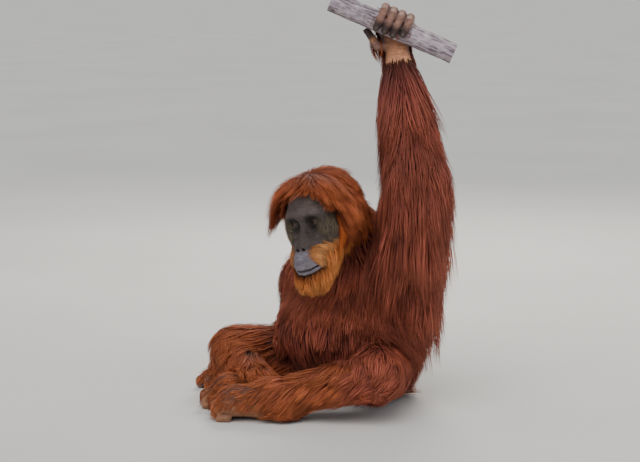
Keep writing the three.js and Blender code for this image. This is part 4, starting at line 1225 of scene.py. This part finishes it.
def grow(strip, field, skin, number):
    """The tufts of one strip: rooted on the skin, gathered into locks whose tips meet."""
    draw = np.random.default_rng(SEED + number)
    corners, centres, areas, normals, owners = skin
    mine = owners == strip["part"]
    weight = np.where(mine, areas, 0) * strip["where"](centres, normals)
    weight = weight * (centres[:, 2] > LOWEST_ROOT)
    pick = draw.choice(len(areas), strip["count"], p=weight / weight.sum())
    share = draw.random((2, len(pick), 1))
    quad = corners[pick]
    roots = mix(mix(quad[:, 0], quad[:, 1], share[0]), mix(quad[:, 3], quad[:, 2], share[0]), share[1])
    start, end = AXES[strip["part"]]
    way = unit(end - start)
    count = len(roots)
    lie = lie_of(strip, roots, normals[pick], way)
    lie = unit(lie + draw.normal(0, strip.get("stray", STRAY), (count, 3)))
    along = (roots - start) @ way / np.linalg.norm(end - start)
    length = strip["length"] * MM * draw.uniform(0.72, 1.12, count)
    length = length * mix(1.0, strip.get("end", 1.0), smooth(0.45, 0.95, along))
    rise = strip["rise"] * MM * draw.uniform(0.25, 1.0, count) ** 0.8
    points, faces = trace(field, roots, lie, length, strip.get("fall", FALL), strip["cling"], rise)
    locks, own = gather(points, roots)
    wave = draw.uniform(0, 6.28, count)
    sway = draw.normal(0, 1, (count, 3))
    for step in range(1, STEPS + 1):
        along = step / STEPS
        size = strip["length"] * MM * 0.018 * along
        points[step] += sway * size * np.sin(wave + 3.0 * along)[:, None]
        gap = 0.002 + 0.12 * rise * along - field.at(points[step])
        points[step] += faces[step] * np.maximum(gap, 0)[:, None]
        points[step][:, 2] = np.maximum(points[step][:, 2], LOWEST_HAIR)
    tone = draw.normal(0, 1, locks)[own] * 0.16 + draw.normal(0, 0.10, count)
    return roots, points, faces, tone, length


def tuft_arrays(strip, points, faces, tone, length):
    """Places, faces, colours and strand values of tufts as closed three-sided blades."""
    count = points.shape[1]
    half = strip["width"] * MM / 2
    dark, middle, pale = (np.array(part) for part in COAT_SHADES[strip["shades"]])
    rings, tints, strands = [], [], []
    seeds = np.arange(count) * 0.37 % 40.0
    for step in range(STEPS):
        along = step / STEPS
        way = unit(points[step + 1] - points[max(0, step - 1)])
        side = unit(np.cross(way, faces[step]))
        face = np.cross(side, way)
        taper = min(1, 0.5 + along) * (1 - along ** 3)
        wide = side * half * taper
        thick = face * half * 0.5 * taper
        rings += [points[step] + wide, points[step] - wide, points[step] + thick]
        tint = mix(dark, middle, min(1, along * 2.2)) if along < 0.5 else mix(middle, pale, along * 2 - 1)
        tint = tint * np.exp(tone * 1.1)[:, None]
        for corner in (0.0, 1.0, 0.5):
            tints.append(tint)
            strands.append(np.stack([np.full(count, corner), length * along * 8, seeds], axis=1))
    rings.append(points[STEPS])
    tints.append(pale * np.exp(tone * 1.1)[:, None])
    strands.append(np.stack([np.full(count, 0.5), length * 8, seeds], axis=1))
    size = len(rings)
    places = np.stack(rings, axis=1).reshape(-1, 3)
    tints = np.stack(tints, axis=1).reshape(-1, 3)
    strands = np.stack(strands, axis=1).reshape(-1, 3)
    first = (np.arange(count) * size)[:, None]
    quads, corners = [], []
    for step in range(STEPS - 1):
        for corner in range(3):
            after = (corner + 1) % 3
            low, high = step * 3, step * 3 + 3
            quads.append(first + np.array([low + corner, low + after, high + after, high + corner]))
    last = (STEPS - 1) * 3
    for corner in range(3):
        corners.append(first + np.array([last + corner, last + (corner + 1) % 3, size - 1]))
    corners.append(first + np.array([2, 1, 0]))
    return places, np.concatenate(quads), np.concatenate(corners), tints, strands


def chart(strip, roots, spot, total):
    """The root's place on an unwrap of its own part: the angle round its axis and the way along it."""
    start, end = AXES[strip["part"]]
    way = unit(end - start)
    side = unit(np.cross(way, place(0.31, 0.17, 0.93)))
    third = np.cross(way, side)
    away = roots - start
    angle = np.arctan2(away @ third, away @ side) / (2 * math.pi) + 0.5
    along = (away @ way) / np.linalg.norm(end - start)
    along = 0.5 + np.arctan((along - 0.5) * 1.6) / math.pi
    return np.stack([(spot + 0.01 + 0.98 * angle) / total, 0.01 + 0.98 * along], axis=1)


def bake_patch():
    """A tuft's corners on its own patch of the bake map, from root to tip."""
    across = [side for _ in range(STEPS) for side in (-1, 1, 0)] + [0]
    along = [2 * step / STEPS - 1 for step in range(STEPS) for _ in range(3)] + [1]
    return np.stack([across, along], axis=1) * PATCH_HALF


def coat_piece(name, strips, tint, field, skin):
    """One piece of the coat as a mesh with its colours, strands and bake map."""
    own = [(number, strip) for number, strip in enumerate(strips) if strip["piece"] == name]
    places, quads, corners, tints, strands, spots = [], [], [], [], [], []
    total = 0
    for spot, (number, strip) in enumerate(own):
        roots, points, faces, tone, length = grow(strip, field, skin, number)
        made = tuft_arrays(strip, points, faces, tone, length)
        places.append(made[0])
        quads.append(made[1] + total)
        corners.append(made[2] + total)
        tints.append(made[3])
        strands.append(made[4])
        centre = chart(strip, roots, spot, len(own))
        spots.append((centre[:, None, :] + bake_patch()[None]).reshape(-1, 2))
        total += len(made[0])
    quads, corners = np.concatenate(quads), np.concatenate(corners)
    obj = new_mesh(name, np.concatenate(places), [quads, corners])
    paint(obj, "Tint", np.clip(np.concatenate(tints) * np.array(tint), 0, 1))
    layer = obj.data.attributes.new("Strand", "FLOAT_VECTOR", "POINT")
    layer.data.foreach_set("vector", np.concatenate(strands).astype(np.float32).ravel())
    order = np.concatenate([quads.ravel(), corners.ravel()])
    bake = obj.data.uv_layers.new(name="OFBake")
    bake.data.foreach_set("uv", np.concatenate(spots)[order].astype(np.float32).ravel())
    return obj


def tube(rings):
    """Places and faces of a closed skin through rings of places."""
    rings = np.asarray(rings)
    count, size = rings.shape[:2]
    places = np.concatenate([rings.reshape(-1, 3), [rings[0].mean(axis=0)], [rings[-1].mean(axis=0)]])
    quads, corners = [], []
    for ring in range(count - 1):
        for spot in range(size):
            after = (spot + 1) % size
            quads.append([ring * size + spot, ring * size + after,
                          (ring + 1) * size + after, (ring + 1) * size + spot])
    first, last = count * size, count * size + 1
    for spot in range(size):
        after = (spot + 1) % size
        corners.append([first, after, spot])
        corners.append([last, (count - 1) * size + spot, (count - 1) * size + after])
    return places, np.array(quads), np.array(corners)


# How dark a sole is, of a palm
SOLE_TONE = 0.55


def toned(colours, tint, share):
    """Colours drawn towards a tint, each by its own share."""
    return mix(colours, np.array(tint), share[:, None])


def mouth_distance(q):
    """How far places in the head's frame lie from the mouth's line."""
    nearest_yet = np.full(len(q), np.inf)
    for first, second in zip(MOUTH, MOUTH[1:]):
        start, run = place(*first), place(*second) - place(*first)
        share = np.clip((q - start) @ run / (run @ run), 0, 1)
        nearest_yet = np.minimum(nearest_yet, reach(q, start + share[:, None] * run))
    return nearest_yet


def face_tints(places, face, under):
    """The head's colours: a grey face with a pale muzzle, painted highlights on the brow, the nose's
    bridge and the lips, and painted shade in the sockets, along the mouth's line and in the nostrils.
    """
    q = in_head(places)
    x, y, z = np.abs(q[:, 0]), q[:, 1], q[:, 2]
    half = np.stack([x, y, z], axis=1)
    # Where the painted highlight down the nose's bridge falls.
    bridge = smooth(14, 5, x) * smooth(-96, -84, y) * smooth(-40, -20, z) * smooth(34, 18, z)
    pouch = reach(half, (34, 0, -16), (1, 0, 1.6))
    # Where the painted highlight on the lips falls, above and below the mouth's line.
    lip_highlight = smooth(24, 4, np.abs(z - mouth_height(x) - 5)) * smooth(-100, -118, y)
    socket = reach(half, (EYE_SIDE, -76, EYE_HEIGHT), (1, 0.6, 1))
    nostril = reach(half, (NOSTRIL_SIDE, -114, NOSTRIL_HEIGHT))
    colour = np.tile(face, (len(places), 1))
    colour = toned(colour, shade(118, 114, 126), smooth(-84, -104, y) * smooth(-42, -56, z))
    # Painted highlight: the brow ridge and the skin above it made paler, where light falls on top.
    colour = toned(colour, shade(104, 92, 88), 0.7 * smooth(20, 34, z))
    # Painted highlight: a paler strip down the nose's bridge.
    colour = toned(colour, shade(112, 104, 102), 0.6 * bridge)
    colour = toned(colour, shade(96, 84, 78), 0.5 * smooth(16, 6, pouch))
    # Painted highlight: the lips made paler and bluer beside the mouth's line.
    colour = toned(colour, shade(140, 132, 138), 0.3 * lip_highlight)
    # Under the head's hair the skin takes the under colour: its own dark tone, partly painted shade for
    # the gaps in the hair.
    colour = toned(colour, under, smooth(0.2, 0.8, crown_mask(places, None)))
    # Painted shade: the skin round each eye darkened nearly to black, as in deep sockets under the brow.
    colour = toned(colour, shade(34, 27, 26), 0.9 * smooth(30, 13, socket))
    # Painted shade along the parting of the lips.
    colour = toned(colour, shade(38, 28, 30), smooth(4.2, 1.6, mouth_distance(q)))
    # Painted shade inside the nostrils.
    return toned(colour, shade(22, 16, 16), smooth(5.5, 3.6, nostril))


def skin_tints(places, owners, face, palm_tint, under):
    """The skin's colours: grey face, tan palms and soles, and dark skin under the coat: the skin's own
    dark tone, made darker still as painted shade in the gaps between tufts.
    """
    # The under colour: the skin's own dark tone, darkened further as painted shade in the coat's gaps.
    tints = np.tile(under, (len(places), 1))
    head = owners == "head"
    tints[head] = face_tints(places[head], face, under)
    inner_sides = {"hand_left": HAND_FRONT, "hand_right": DOWN, "foot_left": DOWN, "foot_right": DOWN}
    for name, inner in inner_sides.items():
        mine = owners == name
        share = smooth(-0.016, 0.004, (places[mine] - FINE[name][0]) @ inner)[:, None]
        bare = np.array(palm_tint) * (1.0 if "hand" in name else SOLE_TONE)
        tints[mine] = mix(np.array(shade(104, 74, 66)), bare, share)
    for name, (points, _) in digits.items():
        limb = "hand" if "finger" in name or "thumb" in name else "foot"
        mine = np.flatnonzero(owners == f"{limb}_{'left' if 'left' in name else 'right'}")
        near = places[mine]
        tint = shade(150, 108, 84)
        if limb == "hand":
            away = np.min([reach(near, point) for point in points[1:]], axis=0)
            tints[mine] = toned(tints[mine], shade(126, 98, 92), 0.8 * smooth(0.024, 0.014, away))
            tint = shade(52, 40, 40)
        tints[mine] = toned(tints[mine], tint, 0.9 * smooth(0.030, 0.012, reach(near, points[-1])))
    return tints


# How far a cornea rises, of the eye's radius, to what angle in degrees, and the places in a ring of an eye
CORNEA_RISE = 0.055
CORNEA_ANGLE = 26
EYE_SPOTS = 48


def eye_arrays():
    """Both eyeballs with a raised cornea: places, faces and the angle of each place from the pupil."""
    places, quads, corners, angles = [], [], [], []
    total = 0
    for side in (-1, 1):
        centre = on_head(side * EYE_SIDE, EYE_FORWARD, EYE_HEIGHT)
        look = head_way(side * 0.10 - 0.05, -1, -0.06)
        right = unit(np.cross(look, head_way(0, 0, 1)))
        high = np.cross(right, look)
        rings = []
        degrees = np.concatenate([np.linspace(2, 40, 20), np.linspace(44, 176, 20)])
        for angle in degrees:
            bend = math.radians(angle)
            radius = EYE_RADIUS * MM * (1 + CORNEA_RISE * math.exp(-((angle / CORNEA_ANGLE) ** 4)))
            spin = np.linspace(0, 2 * math.pi, EYE_SPOTS, endpoint=False)
            ring = (
                look * math.cos(bend)
                + np.outer(np.cos(spin), right) * math.sin(bend)
                + np.outer(np.sin(spin), high) * math.sin(bend)
            )
            rings.append(centre + ring * radius)
        made, around, caps = tube(rings)
        places.append(made)
        quads.append(around + total)
        corners.append(caps + total)
        angles.append(np.concatenate([np.repeat(degrees, EYE_SPOTS), [0, 180]]))
        total += len(made)
    return np.concatenate(places), np.concatenate(quads), np.concatenate(corners), np.concatenate(angles)


# How far round the eye the lids reach, and how far their edges open from its middle
LID_SPREAD = math.radians(58)
UPPER_EDGE = math.radians(17.5)
LOWER_EDGE = -math.radians(14.5)

# A lid's section: radians past its edge, and millimetres from the eye's centre
LID_OUTLINE = [
    (0.0, 12.35), (0.02, 12.9), (0.06, 13.5), (0.13, 13.9), (0.25, 14.0), (0.42, 13.8),
    (0.60, 13.4), (0.75, 13.0), (0.74, 12.5), (0.4, 12.4), (0.2, 12.3),
]


def lid_arrays():
    """The eyelids: a thin fold above and below each eye, with a rolled edge."""
    places, quads, corners = [], [], []
    total = 0
    for side in (-1, 1):
        centre = on_head(side * EYE_SIDE, EYE_FORWARD, EYE_HEIGHT)
        ahead, right, high = head_way(0, -1, 0), head_way(1, 0, 0), head_way(0, 0, 1)
        for upper in (True, False):
            rings = []
            for spread in np.linspace(-1, 1, 33):
                azimuth = LID_SPREAD * spread
                bow = (1 - spread * spread) ** 0.62
                tilt = 0.05 * spread * side
                edge = (UPPER_EDGE if upper else LOWER_EDGE) * bow + tilt
                ring = []
                for along, radius in LID_OUTLINE:
                    rise = edge + (along if upper else -along)
                    way = (
                        (ahead * math.cos(azimuth) + right * math.sin(azimuth)) * math.cos(rise)
                        + high * math.sin(rise)
                    )
                    ring.append(centre + way * radius * MM)
                rings.append(ring)
            made, around, caps = tube(rings)
            outward = face_out(made, around)
            places.append(made)
            quads.append(outward + total)
            corners.append((caps if outward is around else caps[:, ::-1]) + total)
            total += len(made)
    return np.concatenate(places), np.concatenate(quads), np.concatenate(corners)


def nail_turns():
    """For each digit: where its nail sits, how it is turned, and how wide it is."""
    spots = []
    for name, (points, radii) in digits.items():
        way = unit(points[-1] - points[-2])
        at = points[-1] + way * radii[1] * 0.15
        if name.startswith(("finger_left", "thumb_left")):
            beside = points[-1] - BRANCH_AT
            out = beside - BRANCH_WAY * (beside @ BRANCH_WAY)
        elif "thumb" in name or "big" in name:
            out = UP
        else:
            out = (points[1] - points[0]) * (1, 1, 0)
            way = unit(DOWN + 0.25 * unit(out))
            at = points[-2] + UP * 0.004
        out = unit(out - way * (out @ way))
        side = np.cross(way, out)
        turn = Matrix(np.stack([side, way, out], axis=1).tolist()).to_euler()
        spots.append((at + out * radii[1] * 0.96, turn, radii[1] * 1.1))
    return spots


def new_tree(name, inputs):
    """A Geometry Nodes tree with named inputs; gives its graph and each input as a link."""
    tree = bpy.data.node_groups.new(name, "GeometryNodeTree")
    tree.interface.new_socket(name="Geometry", in_out="OUTPUT", socket_type="NodeSocketGeometry")
    tree.interface.new_socket(name="Geometry", in_out="INPUT", socket_type="NodeSocketGeometry")
    for label, kind in inputs.items():
        tree.interface.new_socket(name=label, in_out="INPUT", socket_type=kind)
    graph = Graph(tree)
    entry = tree.nodes.new("NodeGroupInput")
    links = {socket.name: Link(graph, socket) for socket in entry.outputs if socket.name}
    return graph, links


def finish_tree(graph, geometry, material):
    """The end of a tree: real geometry with its material."""
    real = graph.add("GeometryNodeRealizeInstances", None, {0: geometry})
    made = graph.add("GeometryNodeSetMaterial", None, {0: real, "Material": material})
    out = graph.tree.nodes.new("NodeGroupOutput")
    graph.tree.links.new(made.socket, out.inputs[0])


def grown_by(obj, graph, values):
    """The object's mesh as a tree makes it from the given inputs."""
    modifier = obj.modifiers.new("Making", "NODES")
    modifier.node_group = graph.tree
    for item in graph.tree.interface.items_tree:
        if item.in_out == "INPUT" and item.name in values:
            modifier[item.identifier] = values[item.name]
    obj.update_tag()
    seen = obj.evaluated_get(bpy.context.evaluated_depsgraph_get())
    mesh = bpy.data.meshes.new_from_object(seen)
    obj.modifiers.remove(modifier)
    obj.data = mesh
    mesh.polygons.foreach_set("use_smooth", np.ones(len(mesh.polygons), bool))


def branch_tree(material):
    """A tree that makes the branch: a rough round bar with knots along it."""
    graph, given = new_tree("Branch", {
        "Start": "NodeSocketVector", "End": "NodeSocketVector", "Radius": "NodeSocketFloat",
        "Relief": "NodeSocketFloat",
    })
    ends = {"Start": given["Start"], "End": given["End"]}
    line = graph.add("GeometryNodeCurvePrimitiveLine", None, ends)
    line = graph.add("GeometryNodeResampleCurve", None, {0: line, "Count": 150})
    size = {"Resolution": 96, "Radius": given["Radius"]}
    ring = graph.add("GeometryNodeCurvePrimitiveCircle", None, size)
    bar = graph.add("GeometryNodeCurveToMesh", None, {0: line, "Profile Curve": ring, "Fill Caps": True})
    spot = graph.add("GeometryNodeInputPosition")
    along = graph.vector("SUBTRACT", {0: given["End"], 1: given["Start"]})
    along = graph.vector("NORMALIZE", {0: along})
    run = graph.vector("DOT_PRODUCT", {0: spot, 1: along}, 1)
    back = graph.vector("SCALE", {0: along, "Scale": run * 0.84})
    grain = graph.vector("SUBTRACT", {0: spot, 1: back})
    ridges = graph.noise(grain, 150.0, 4.0, 0.6) - 0.62
    lumps = graph.noise(spot, 26.0, 2.0) - 0.6
    normal = graph.add("GeometryNodeInputNormal")
    push = graph.vector("SCALE", {0: normal, "Scale": (ridges + lumps * 2.2) * given["Relief"]})
    rough = graph.add("GeometryNodeSetPosition", None, {0: bar, "Offset": push})
    finish_tree(graph, rough, material)
    return graph


def nail_tree(material):
    """A tree that puts a bent nail on each point."""
    graph, given = new_tree("Nails", {"Width": "NodeSocketFloat", "Length": "NodeSocketFloat"})
    ball = graph.add("GeometryNodeMeshUVSphere", None, {"Segments": 28, "Rings": 16, "Radius": 1.0})
    parts = graph.tree.nodes.new("ShaderNodeSeparateXYZ")
    graph.tree.links.new(graph.add("GeometryNodeInputPosition").socket, parts.inputs[0])
    x, y, z = (Link(graph, parts.outputs[i]) for i in range(3))
    flat = graph.add("ShaderNodeCombineXYZ", None, {
        0: x * given["Width"], 1: y * given["Length"], 2: z * 0.16 - x * x * 0.36 - y * y * 0.10,
    })
    nail = graph.add("GeometryNodeSetPosition", None, {0: ball, "Position": flat})
    turn = graph.add(
        "GeometryNodeInputNamedAttribute", {"data_type": "FLOAT_VECTOR"}, {"Name": "Turn"},
    )
    size = graph.add("GeometryNodeInputNamedAttribute", {"data_type": "FLOAT"}, {"Name": "Size"})
    spin = graph.add("FunctionNodeEulerToRotation", None, {0: turn})
    copies = graph.add(
        "GeometryNodeInstanceOnPoints", None,
        {0: given["Geometry"], "Instance": nail, "Rotation": spin, "Scale": size},
    )
    finish_tree(graph, copies, material)
    return graph


class OrangutanSkinSizes(bpy.types.PropertyGroup):
    """Sizes and colours of the skin."""

    core: bpy.props.FloatProperty(
        name="Core", description="How far the skin lies inside the coat's dense core", default=0.016,
        unit="LENGTH",
    )
    grid: bpy.props.FloatProperty(
        name="Grid", description="How fine the skin of the body is", default=0.0078, unit="LENGTH",
    )
    face: bpy.props.FloatVectorProperty(
        name="Face", description="Colour of the bare face", default=shade(70, 60, 58), subtype="COLOR",
    )
    palm: bpy.props.FloatVectorProperty(
        name="Palm", description="Colour of the palms", default=shade(220, 156, 116), subtype="COLOR",
    )
    # The skin's own dark tone under the coat, chosen darker still as painted shade in the gaps between
    # tufts.
    under: bpy.props.FloatVectorProperty(
        name="Under", description="Colour under the coat", default=shade(66, 36, 30), subtype="COLOR",
    )


class OrangutanCoatSizes(bpy.types.PropertyGroup):
    """Sizes and colour of the coat."""

    length: bpy.props.FloatProperty(
        name="Length", description="Length of the hair, where 1 is as it grows", default=1.0,
    )
    width: bpy.props.FloatProperty(
        name="Width", description="Width of the tufts, where 1 is as they grow", default=1.0,
    )
    tint: bpy.props.FloatVectorProperty(
        name="Tint", description="What the hair's colours are multiplied by", default=(1.0, 1.0, 1.0),
        subtype="COLOR",
    )


class OrangutanBranchSizes(bpy.types.PropertyGroup):
    """Sizes of the branch."""

    radius: bpy.props.FloatProperty(
        name="Radius", description="Radius of the branch", default=BRANCH_RADIUS, unit="LENGTH",
    )
    length: bpy.props.FloatProperty(
        name="Length", description="Length of the branch", default=BRANCH_LENGTH, unit="LENGTH",
    )
    relief: bpy.props.FloatProperty(
        name="Relief", description="Depth of the bark's ridges", default=0.0024, unit="LENGTH",
    )


class OrangutanStageSizes(bpy.types.PropertyGroup):
    """The floor, the lights and the camera."""

    floor: bpy.props.FloatProperty(
        name="Floor", description="Width of the floor", default=160.0, unit="LENGTH",
    )
    distance: bpy.props.FloatProperty(
        name="Distance", description="How far the camera stands", default=4.5, unit="LENGTH",
    )
    elevation: bpy.props.FloatProperty(
        name="Elevation", description="How far the camera looks down", default=math.radians(8.5),
        subtype="ANGLE",
    )
    focal: bpy.props.FloatProperty(
        name="Lens", description="The camera's focal length in millimetres", default=101.25,
    )


# What the skin and the coat share, worked out once
fields = {}


def prepared():
    """The field that the coat lies over, the skin's places and faces, and the part of each face."""
    if fields:
        return fields
    sizes = bpy.context.scene.orangutan_skin
    parts = body_parts(sizes.core)
    low = np.min([shape.low for shape in parts.values()], axis=0) - FAR
    high = np.max([shape.high for shape in parts.values()], axis=0) + FAR
    low[2] = -NEAR
    step = sizes.grid * 1.25
    bare = grid_of(parts, low, high, step)
    body = Field(bare, low, step)
    half = BRANCH_WAY * BRANCH_LENGTH / 2
    branch = grid_of({"branch": rod(BRANCH_AT - half, BRANCH_AT + half, BRANCH_RADIUS)}, low, high, step)
    heights = low[2] + step * np.arange(bare.shape[2])
    coat = Field(np.minimum(np.minimum(bare, branch), heights[None, None, :]), low, step)
    places, quads, owners = joined(skin_surface(parts, body, sizes.grid))
    places[:, 2] = np.maximum(places[:, 2], 0)
    quads = face_out(places, quads)
    corners = places[quads]
    centres = corners.mean(axis=1)
    across = np.cross(corners[:, 2] - corners[:, 0], corners[:, 3] - corners[:, 1])
    areas = np.linalg.norm(across, axis=1) / 2
    away = np.full((len(parts), len(centres)), np.inf)
    for row, shape in zip(away, parts.values()):
        mine = np.all((centres > shape.low - NEAR) & (centres < shape.high + NEAR), axis=1)
        row[mine] = shape.distance(centres[mine])
    names = np.array(list(parts))[away.argmin(axis=0)]
    fields.update(
        coat=coat, places=places, quads=quads, owners=owners,
        skin=(corners, centres, areas, unit(across), names),
    )
    return fields


# Every node that the skin stands for
FLESH = [name for name in frame["nodes"] if name != "branch" and not name.startswith("eye")]


class OBJECT_OT_orangutan_skin(bpy.types.Operator):
    """Make the skin from the face to the soles."""

    bl_idname = "object.orangutan_skin"
    bl_label = "Skin"

    def execute(self, context):
        """Build the skin, paint it and let it stand for every node of flesh."""
        made = prepared()
        looks = context.scene.orangutan_skin
        tints = skin_tints(made["places"], made["owners"], looks.face, looks.palm, looks.under)
        obj = new_mesh("skin", made["places"], [made["quads"]])
        paint(obj, "Tint", tints)
        obj.data.materials.append(new_material("Skin", skin_nodes, ior=1.42))
        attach(obj, "root")
        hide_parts(*FLESH)
        return {"FINISHED"}


class OBJECT_OT_orangutan_eyes(bpy.types.Operator):
    """Make the eyes and their lids."""

    bl_idname = "object.orangutan_eyes"
    bl_label = "Eyes"

    def execute(self, context):
        """Build both eyeballs and four lids."""
        places, quads, corners, angles = eye_arrays()
        balls = new_mesh("eyeballs", places, [quads, corners])
        mark(balls, "Off axis", angles)
        balls.data.materials.append(new_material("Eye", eye_nodes, ior=1.38, coat_weight=0.6))
        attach(balls, "root")
        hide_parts("eye_left", "eye_right")
        places, quads, corners = lid_arrays()
        lids = new_mesh("eyelids", places, [quads, corners])
        paint(lids, "Tint", np.tile(shade(74, 60, 56), (len(places), 1)))
        lids.data.materials.append(new_material("Eyelid", skin_nodes, ior=1.42))
        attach(lids, "root")
        return {"FINISHED"}


class OBJECT_OT_orangutan_nails(bpy.types.Operator):
    """Put a nail on every finger and toe."""

    bl_idname = "object.orangutan_nails"
    bl_label = "Nails"

    def execute(self, context):
        """Build the nails with Geometry Nodes on one point for each digit."""
        spots = nail_turns()
        mesh = bpy.data.meshes.new("nails")
        mesh.from_pydata([tuple(at) for at, _, _ in spots], [], [])
        obj = bpy.data.objects.new("nails", mesh)
        context.scene.collection.objects.link(obj)
        turns = mesh.attributes.new("Turn", "FLOAT_VECTOR", "POINT")
        turns.data.foreach_set("vector", [value for _, turn, _ in spots for value in turn])
        mark(obj, "Size", [size for _, _, size in spots])
        graph = nail_tree(new_material("Nail", nail_nodes, ior=1.5))
        grown_by(obj, graph, {"Width": 0.62, "Length": 0.70})
        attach(obj, "root")
        return {"FINISHED"}


class OBJECT_OT_orangutan_branch(bpy.types.Operator):
    """Make the branch with its bark."""

    bl_idname = "object.orangutan_branch"
    bl_label = "Branch"

    def execute(self, context):
        """Build the branch with Geometry Nodes along its line."""
        sizes = context.scene.orangutan_branch
        mesh = bpy.data.meshes.new("branch_bark")
        obj = bpy.data.objects.new("branch_bark", mesh)
        context.scene.collection.objects.link(obj)
        graph = branch_tree(new_material("Bark", bark_nodes, ior=1.45))
        half = BRANCH_WAY * sizes.length / 2
        grown_by(obj, graph, {
            "Start": tuple(BRANCH_AT - half), "End": tuple(BRANCH_AT + half), "Radius": sizes.radius,
            "Relief": sizes.relief,
        })
        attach(obj, "root")
        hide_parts("branch")
        return {"FINISHED"}


class OBJECT_OT_orangutan_coat(bpy.types.Operator):
    """Grow the coat in its pieces."""

    bl_idname = "object.orangutan_coat"
    bl_label = "Coat"

    def execute(self, context):
        """Build each piece of the coat over the skin."""
        made = prepared()
        looks = context.scene.orangutan_coat
        strips = [
            {**strip, "length": strip["length"] * looks.length, "width": strip["width"] * looks.width}
            for strip in STRIPS
        ]
        hair = new_material("Hair", coat_nodes, specular_ior_level=0.28)
        for name in dict.fromkeys(strip["piece"] for strip in strips):
            obj = coat_piece(name, strips, looks.tint, made["coat"], made["skin"])
            obj.data.materials.append(hair)
            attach(obj, "root")
            "crown_hair" if name in ("coat_crown", "coat_beard") else "coat"
        return {"FINISHED"}


# What the camera and the lamps look at
LOOKED_AT = (-0.083, -0.083, 0.414)
LIT_AT = (0, -0.05, 0.45)


def add_light(name, at, target, width, watts, colour):
    """A soft square light that looks at a place."""
    lamp = bpy.data.lights.new(name, "AREA")
    lamp.size = width
    lamp.energy = watts
    lamp.color = colour
    obj = bpy.data.objects.new(name, lamp)
    obj.location = at
    obj.rotation_euler = (Vector(target) - Vector(at)).to_track_quat("-Z", "Y").to_euler()
    bpy.context.scene.collection.objects.link(obj)


def add_sun(name, from_place, strength, spread, colour):
    """A broad even light from one side, with soft shadows."""
    lamp = bpy.data.lights.new(name, "SUN")
    lamp.energy = strength
    lamp.angle = math.radians(spread)
    lamp.color = colour
    obj = bpy.data.objects.new(name, lamp)
    obj.location = from_place
    obj.rotation_euler = Vector(from_place).to_track_quat("Z", "Y").to_euler()
    bpy.context.scene.collection.objects.link(obj)


class OBJECT_OT_orangutan_stage(bpy.types.Operator):
    """Make the floor, the lights and the camera."""

    bl_idname = "object.orangutan_stage"
    bl_label = "Stage"

    def execute(self, context):
        """Build the floor, light the model softly and stand the camera at the photograph's angle."""
        sizes = context.scene.orangutan_stage
        half = sizes.floor / 2
        corners = [(-half, -half, 0), (half, -half, 0), (half, half, 0), (-half, half, 0)]
        floor = new_mesh("floor", corners, [np.array([[0, 1, 2, 3]])])
        floor.data.materials.append(new_material("Floor", floor_nodes, roughness=0.9))
        target = Vector(LOOKED_AT)
        camera = bpy.data.cameras.new("camera")
        camera.lens = sizes.focal
        camera.sensor_width = 36.0
        viewer = bpy.data.objects.new("camera", camera)
        flat = math.cos(sizes.elevation) * math.sqrt(0.5)
        viewer.location = target + Vector((flat, -flat, math.sin(sizes.elevation))) * sizes.distance
        viewer.rotation_euler = (target - viewer.location).to_track_quat("-Z", "Y").to_euler()
        context.scene.collection.objects.link(viewer)
        context.scene.camera = viewer
        add_sun("key", (1.2, -2.2, 3.0), 2.1, 50.0, (1.0, 0.975, 0.94))
        add_light("fill", (3.2, 0.2, 1.5), LIT_AT, 2.4, 22.0, (0.94, 0.97, 1.0))
        add_light("rim", (-1.6, 2.2, 2.6), LIT_AT, 1.6, 85.0, (1.0, 0.93, 0.82))
        world = bpy.data.worlds.new("Studio")
        world.use_nodes = True
        sky = world.node_tree.nodes["Background"]
        sky.inputs["Color"].default_value = (0.78, 0.81, 0.84, 1)
        sky.inputs["Strength"].default_value = 0.66
        context.scene.world = world
        return {"FINISHED"}


OPERATORS = [
    OBJECT_OT_orangutan_skin, OBJECT_OT_orangutan_coat, OBJECT_OT_orangutan_eyes,
    OBJECT_OT_orangutan_nails, OBJECT_OT_orangutan_branch, OBJECT_OT_orangutan_stage,
]
GROUPS = {
    "orangutan_skin": OrangutanSkinSizes,
    "orangutan_coat": OrangutanCoatSizes,
    "orangutan_branch": OrangutanBranchSizes,
    "orangutan_stage": OrangutanStageSizes,
}


class VIEW3D_PT_orangutan(bpy.types.Panel):
    """The makers of the model in the sidebar."""

    bl_idname = "VIEW3D_PT_orangutan"
    bl_label = "Orangutan"
    bl_space_type = "VIEW_3D"
    bl_region_type = "UI"
    bl_category = "Orangutan"

    def draw(self, context):
        """List the sizes and the operators."""
        for name, group in GROUPS.items():
            box = self.layout.box()
            for prop in group.__annotations__:
                box.prop(getattr(context.scene, name), prop)
        for operator in OPERATORS:
            self.layout.operator(operator.bl_idname)


def register():
    """Register the classes and their sizes."""
    for made in (*GROUPS.values(), *OPERATORS, VIEW3D_PT_orangutan):
        bpy.utils.register_class(made)
    for name, group in GROUPS.items():
        setattr(bpy.types.Scene, name, bpy.props.PointerProperty(type=group))


def unregister():
    """Remove the classes and their sizes."""
    for name in GROUPS:
        delattr(bpy.types.Scene, name)
    for made in (VIEW3D_PT_orangutan, *reversed(OPERATORS), *GROUPS.values()):
        bpy.utils.unregister_class(made)


def main():
    """Make the whole model."""
    register()
    bpy.ops.object.orangutan_skin()
    bpy.ops.object.orangutan_coat()
    bpy.ops.object.orangutan_eyes()
    bpy.ops.object.orangutan_nails()
    bpy.ops.object.orangutan_branch()
    bpy.ops.object.orangutan_stage()


if __name__ == "__main__":
    main()
